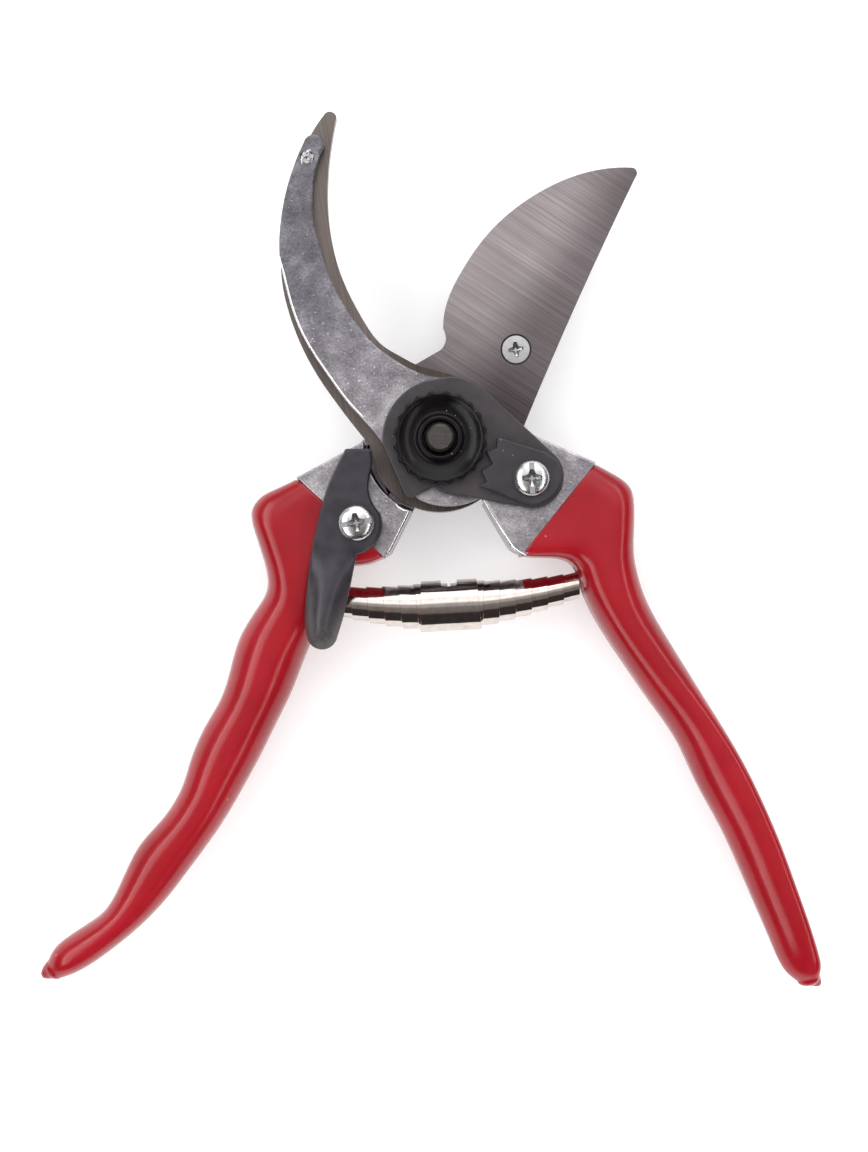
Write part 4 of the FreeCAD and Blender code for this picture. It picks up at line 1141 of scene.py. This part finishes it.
def sleeve_mesh(axis):
    """The wide middle turn, with a notch in its side towards the pivot."""
    work = bmesh.new()
    half = SLEEVE_LENGTH / 2
    angles = [2 * math.pi * k / SLEEVE_SLICES for k in range(SLEEVE_SLICES)]
    swept(work, [strip_section(axis, -half, half, SLEEVE_RADIUS, angle, 1) for angle in angles], True)
    return subtracted(plain_mesh(work, "sleeve"), notch_cutter(axis), "sleeve")


def spring_mesh():
    """The sleeve with a strip wound out of each of its ends, each turn smaller than the last."""
    axis = SpringAxis()
    work = bmesh.new()
    work.from_mesh(sleeve_mesh(axis))
    half = SLEEVE_LENGTH / 2
    turns = (axis.half_length - half) / AXIAL_STEP
    count = math.ceil(turns * STEPS_PER_TURN)
    for side in (-1, 1):
        strip = []
        for k in range(count + 1):
            turned = turns * k / count
            radius = SLEEVE_RADIUS - STRIP_THICK - STRIP_GAP - RADIAL_STEP * turned
            far = half + AXIAL_STEP * turned
            near = max(far - STRIP_WIDTH, MIDDLE_GAP)
            strip.append(strip_section(axis, near, far, radius, 2 * math.pi * turned, side))
        swept(work, strip, False)
    return shaded_mesh(work, "spring_shape", 30.0)


spring = piece("wound_spring", spring_mesh(), BLADE_SIDE, "volute_spring", CHROME)
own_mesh(spring)


# --- table, lights and camera ---

GLOW = 0.33
FLOOR_HALF = 2.0


def table_white():
    """A pale, evenly lit table: its own faint glow keeps it white in front of the lens."""
    s = Shader("white_table")
    cloud = s.noise(0.01, 2.0)
    s.colour(s.ramp(cloud, ((0.3, (0.72, 0.72, 0.725)), (0.7, (0.74, 0.74, 0.745)))))
    s.rough(cloud, 0.6, 0.7)
    s.fixed(Specular_IOR_Level=0.15, Emission_Color=(1, 1, 1, 1), Emission_Strength=GLOW)
    return s.material


floor_mesh = bpy.data.meshes.new("tabletop")
floor_corners = [(x * FLOOR_HALF, y * FLOOR_HALF, 0) for x, y in ((-1, -1), (1, -1), (1, 1), (-1, 1))]
floor_mesh.from_pydata(floor_corners, [], [(0, 1, 2, 3)])
floor_mesh.materials.append(table_white())
floor = bpy.data.objects.new("tabletop", floor_mesh)
bpy.context.scene.collection.objects.link(floor)


LAMPS_AIM = Vector((0, -0.03, 0))


def softbox(name, place, size, watts, mirrored=True):
    """A rectangular lamp aimed at the shears. Its size is along the horizon, then up and down."""
    lamp = bpy.data.lights.new(name, "AREA")
    lamp.shape = "RECTANGLE"
    lamp.size, lamp.size_y = size
    lamp.energy = watts
    made = bpy.data.objects.new(name, lamp)
    made.location = place
    made.rotation_mode = "QUATERNION"
    made.rotation_quaternion = (LAMPS_AIM - Vector(place)).to_track_quat("-Z", "Y")
    made.visible_glossy = mirrored
    bpy.context.scene.collection.objects.link(made)


softbox("top_softbox", (0.12, 0.75, 0.50), (1.3, 0.7), 2.5)
softbox("left_softbox", (-0.44, -0.10, 0.54), (1.2, 0.24), 2.7)
softbox("left_strip", (-0.53, -0.10, 0.44), (1.2, 0.05), 1.5)
softbox("right_softbox", (0.48, -0.05, 0.56), (1.2, 0.12), 0.8)
softbox("right_strip", (0.52, -0.05, 0.51), (1.2, 0.04), 1.0)
softbox("low_fill", (0.35, -0.80, 0.45), (0.8, 0.5), 5.0, False)
softbox("sky_fill", (0.10, -0.15, 1.10), (0.6, 0.6), 2.0, False)


# The surroundings, from the dark room behind the handles (-1) to the white panel behind the blades (1): a
# place between them, its brightness and its tint. SIDES is two distances aside, and the light left at each.
WARM, NEUTRAL = (1.0, 0.90, 0.86), (1.0, 0.985, 0.99)
TENT = (
    (-0.62, 0.05, WARM), (-0.50, 0.24, WARM), (-0.14, 0.30, WARM), (-0.04, 0.54, NEUTRAL),
    (0.16, 0.62, NEUTRAL), (0.28, 1.95, NEUTRAL), (1.0, 1.35, NEUTRAL),
)
SIDES = ((0.25, 1.0), (0.55, 0.22))


def white_tent():
    """The world: a ramp over the direction's y, dimmed out to the sides."""
    world = bpy.data.worlds.new("white_tent")
    world.use_nodes = True
    tree = world.node_tree

    def added(kind, source, **values):
        """A node fed by this source. Values are its sockets by name, with _ for each space."""
        made = tree.nodes.new(kind)
        for name, value in values.items():
            made.inputs[name.replace("_", " ")].default_value = value
        tree.links.new(source, made.inputs["Value"] if kind == "ShaderNodeMapRange" else made.inputs[0])
        return made

    place = tree.nodes.new("ShaderNodeTexCoord")
    split = added("ShaderNodeSeparateXYZ", place.outputs["Generated"])
    share = added("ShaderNodeMapRange", split.outputs[1], From_Min=-1.0)
    ramp = added("ShaderNodeValToRGB", share.outputs[0])
    elements = ramp.color_ramp.elements
    while len(elements) < len(TENT):
        elements.new(0.5)
    for element, (y, strength, tint) in zip(elements, TENT):
        element.position = (y + 1) / 2
        element.color = (*(strength * c for c in tint), 1)
    aside = added("ShaderNodeMath", split.outputs[0])
    aside.operation = "ABSOLUTE"
    (near, full), (far, left) = SIDES
    sides = added(
        "ShaderNodeMapRange", aside.outputs[0], From_Min=near, From_Max=far, To_Min=full, To_Max=left)
    background = tree.nodes["Background"]
    tree.links.new(ramp.outputs[0], background.inputs["Color"])
    tree.links.new(sides.outputs[0], background.inputs["Strength"])
    return world


bpy.context.scene.world = white_tent()

CAMERA_RANGE = 400.0  # from the lens to the plane in which the blades slide
CAMERA_PLACE = Vector((-1.25, -28.7, SHEAR + CAMERA_RANGE)) * MM
SENSOR, LENS = 36.0, 58.06
camera_data = bpy.data.cameras.new("camera")
camera_data.sensor_fit = "VERTICAL"
camera_data.sensor_width = camera_data.sensor_height = SENSOR
camera_data.lens = LENS
camera = bpy.data.objects.new("camera", camera_data)
camera.location = CAMERA_PLACE
bpy.context.scene.collection.objects.link(camera)
bpy.context.scene.camera = camera
bpy.context.scene.view_settings.view_transform = "Standard"
